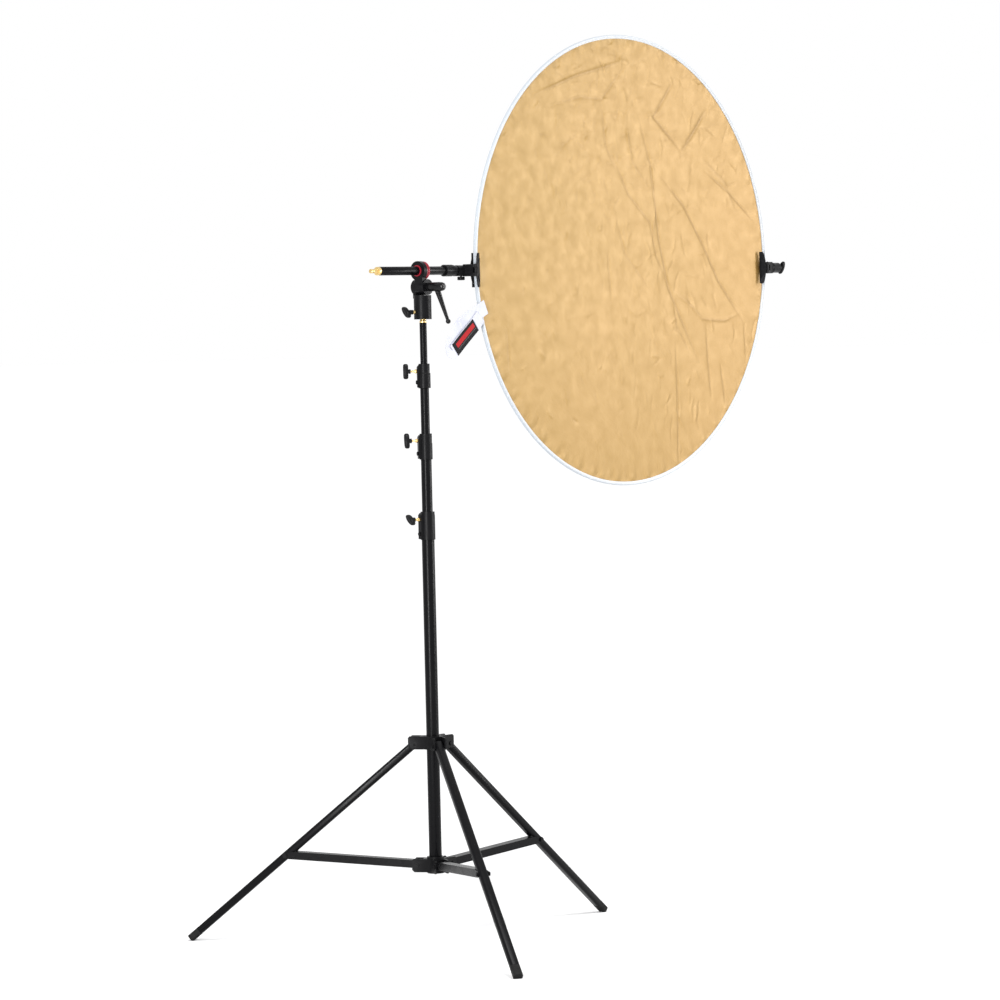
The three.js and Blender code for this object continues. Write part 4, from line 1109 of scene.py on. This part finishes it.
def make_rim():
    """The folded tape round the hoop: plump outside, pinched at the seam along its inner edge."""
    outline = []
    half = RIM_DEEP / 2
    inner, outer = DISC_R - RIM_WIDE, DISC_R
    for k in range(25):
        a = math.pi * (k / 24 - 0.5)
        outline.append((outer - half + half * math.cos(a), half * math.sin(a)))
    outline += [(inner + 4.2, half * 0.93), (inner + 2.6, half * 0.62), (inner + 1.6, half * 0.60),
                (inner, half * 0.50), (inner, 0.9), (inner - 0.4, 0.75), (inner - 0.4, -0.75), (inner, -0.9),
                (inner, -half * 0.50), (inner + 1.6, -half * 0.60), (inner + 2.6, -half * 0.62),
                (inner + 4.2, -half * 0.93)]
    rounds = 720
    rng = random.Random(3)
    phases = [rng.uniform(0, 6.28) for _ in range(3)]
    vertices = []
    for i in range(rounds):
        a = 2 * math.pi * i / rounds
        ripple = 0.30 * math.sin(97 * a + phases[0]) + 0.22 * math.sin(151 * a + phases[1])
        ripple += 0.2 * math.sin(23 * a + phases[2])
        for r, y in outline:
            share = max(0.0, (r - inner) / RIM_WIDE)
            pinch = 1 + (0.10 * ripple * (1 - share) if abs(y) > 1 else 0)
            rr = r + 0.25 * (ripple - 0.72) * share
            vertices.append((rr * math.cos(a) * MM, y * pinch * MM, rr * math.sin(a) * MM))
    faces = grid_faces(rounds, len(outline), wrap_rows=True, wrap_columns=True)
    mesh = new_mesh("rim_tape", vertices, faces)
    mesh.materials.append(LOOKS["tape"])
    mesh.shade_smooth()
    obj = linked("rim_tape", mesh)
    obj.matrix_world = place(DISC_X, DISC_Y, DISC_Z)
    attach(obj, "reflector")
    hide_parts("rim_binding")
    return obj


STRAP_WIDE = 38
STRAP_THICK = 1.3
LABEL_WIDE = 36.5
LEAST_STEP = 0.4


def smooth_path(points, steps):
    """A Catmull-Rom curve through the points."""
    p = [np.array(q, float) for q in points]
    p = [2 * p[0] - p[1], *p, 2 * p[-1] - p[-2]]
    out = []
    for i in range(1, len(p) - 2):
        for s in range(steps):
            t = s / steps
            out.append(0.5 * (2 * p[i] + (p[i + 1] - p[i - 1]) * t
                              + (2 * p[i - 1] - 5 * p[i] + 4 * p[i + 1] - p[i + 2]) * t ** 2
                              + (3 * p[i] - p[i - 1] - 3 * p[i + 1] + p[i + 2]) * t ** 3))
    return [*out, p[-2]]


def band(path, across, wide, columns):
    """Points of a flat band along a path; across gives its width direction at each step."""
    rows = []
    for p, side in zip(path, across):
        rows.append([p + side * wide * (k / columns - 0.5) for k in range(columns + 1)])
    return rows


def make_band(name, rows, thick, look, node, edge=0.35):
    columns = len(rows[0])
    vertices = [tuple(p * MM) for row in rows for p in row]
    mesh = new_mesh(name, vertices, grid_faces(len(rows), columns))
    side = mesh.attributes.new("side", "FLOAT", "POINT")
    side.data.foreach_set("value", [c / (columns - 1) * 2 - 1 for _ in rows for c in range(columns)])
    along = mesh.attributes.new("along", "FLOAT", "POINT")
    along.data.foreach_set("value", [r / (len(rows) - 1) for r in range(len(rows)) for _ in range(columns)])
    obj = linked(name, mesh)
    solid = obj.modifiers.new("cloth", "SOLIDIFY")
    solid.thickness = thick * MM
    solid.offset = 0
    bevel_edges(obj, edge * MM, 50)
    baked(obj)
    obj.data.materials.append(LOOKS[look])
    obj.data.shade_smooth()
    obj.matrix_world = place()
    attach(obj, "reflector")
    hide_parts(node)
    return obj


def band_sides(path):
    """The width direction of a band that faces -Y, at each step; where it turns over, the last one holds."""
    sides = []
    for i in range(len(path)):
        ahead = path[min(i + 1, len(path) - 1)] - path[max(i - 1, 0)]
        level = math.hypot(ahead[0], ahead[2])
        side = np.array([-ahead[2], 0, ahead[0]]) / level if level >= LEAST_STEP else sides[-1]
        if sides and side @ sides[-1] < 0:
            side = -side
        sides.append(side)
    return sides


def make_strap():
    """A webbing loop: it leaves the rim, folds over at its lower end and comes back in front."""
    y = DISC_Y - RIM_DEEP / 2 + 4
    out = [(200, y - 5.2, 1618), (180, y - 5.4, 1609), (150, y - 3.6, 1596), (107, y - 2.8, 1574),
           (82, y - 2.6, 1548), (69, y - 2.4, 1528), (66, y - 2.8, 1513)]
    fold = [(68, y - 4.2, 1506), (73, y - 5.8, 1505)]
    home = [(79, y - 6.2, 1510), (104, y - 6.4, 1531), (130, y - 6.6, 1552), (157, y - 6.4, 1573),
            (178, y - 6.8, 1594)]
    path = smooth_path([*out, *fold, *home], 7)
    rows = band(path, band_sides(path), STRAP_WIDE, 8)
    strap = make_band("strap_webbing", rows, STRAP_THICK, "webbing", "strap")
    label_y = y - 6.6 - STRAP_THICK / 2 - 0.5
    label_path = smooth_path([(78, label_y + 0.2, 1509), (104, label_y, 1531), (130, label_y - 0.2, 1552),
                              (157, label_y, 1573)], 8)
    label_rows = band(label_path, band_sides(label_path), LABEL_WIDE, 10)
    label = make_band("strap_label_patch", label_rows, 0.8, "label", "strap_label", 0.2)
    return strap, label, path


def make_reflector():
    fabric = make_fabric()
    rim = make_rim()
    strap, label, path = make_strap()


# ---- stage -------------------------------------------------------------------------------------


def make_floor():
    size = 400
    points = [(-size, -size, 0), (size, -size, 0), (size, size, 0), (-size, size, 0)]
    mesh = new_mesh("studio_floor", points, [(0, 1, 2, 3)])
    pale = (0.71, 0.71, 0.71)
    look = Look("pale_floor", pale, 0.9, Specular_IOR_Level=0.0)
    mottle = look.noise(look.place_on(), 3, 3)
    look.color(look.mix(look.spread(mottle, 0.0, 1.0), pale, (0.70, 0.70, 0.705)))
    mesh.materials.append(look.material)
    floor = linked("studio_floor", mesh)


def area_light(name, place_at, aim_at, size, watts):
    data = bpy.data.lights.new(name, "AREA")
    data.shape = "RECTANGLE"
    data.size, data.size_y = size
    data.energy = watts
    start, end = AXIS + Vector(place_at), AXIS + Vector(aim_at)
    aim = (end - start).to_track_quat("-Z", "Y").to_matrix().to_4x4()
    linked(name, data).matrix_world = Matrix.Translation(start) @ aim


def make_lights():
    """Places in metres from the foot of the column."""
    world = bpy.data.worlds.new("studio")
    world.use_nodes = True
    background = world.node_tree.nodes["Background"]
    background.inputs["Color"].default_value = (1, 1, 1, 1)
    background.inputs["Strength"].default_value = 1.0
    bpy.context.scene.world = world
    bpy.context.scene.view_settings.view_transform = "Standard"
    sun = bpy.data.lights.new("overhead_sun", "SUN")
    sun.energy = 1.7
    sun.angle = math.radians(24)
    linked("overhead_sun", sun).matrix_world = turn(-20, "Z") @ turn(24, "X")
    area_light("front_right", (4.2, -3.2, 2.2), (1.3, 0, 1.7), (1.2, 2.2), 105)
    area_light("left_strip", (-4.2, -1.6, 1.7), (0, 0, 1.0), (0.45, 3.4), 230)
    area_light("right_strip", (3.4, -4.4, 1.2), (0, 0, 1.0), (0.16, 3.0), 70)


make_column_tubes()
make_lock_collars()
make_knobs()
make_top_spigot()
make_spiders()
make_legs()
refine_nodes()
make_socket()
make_tilt_body()
make_tilt_bolt()
make_lever()
make_boom()
make_left_clip()
make_right_clip()
make_reflector()
make_floor()
make_lights()
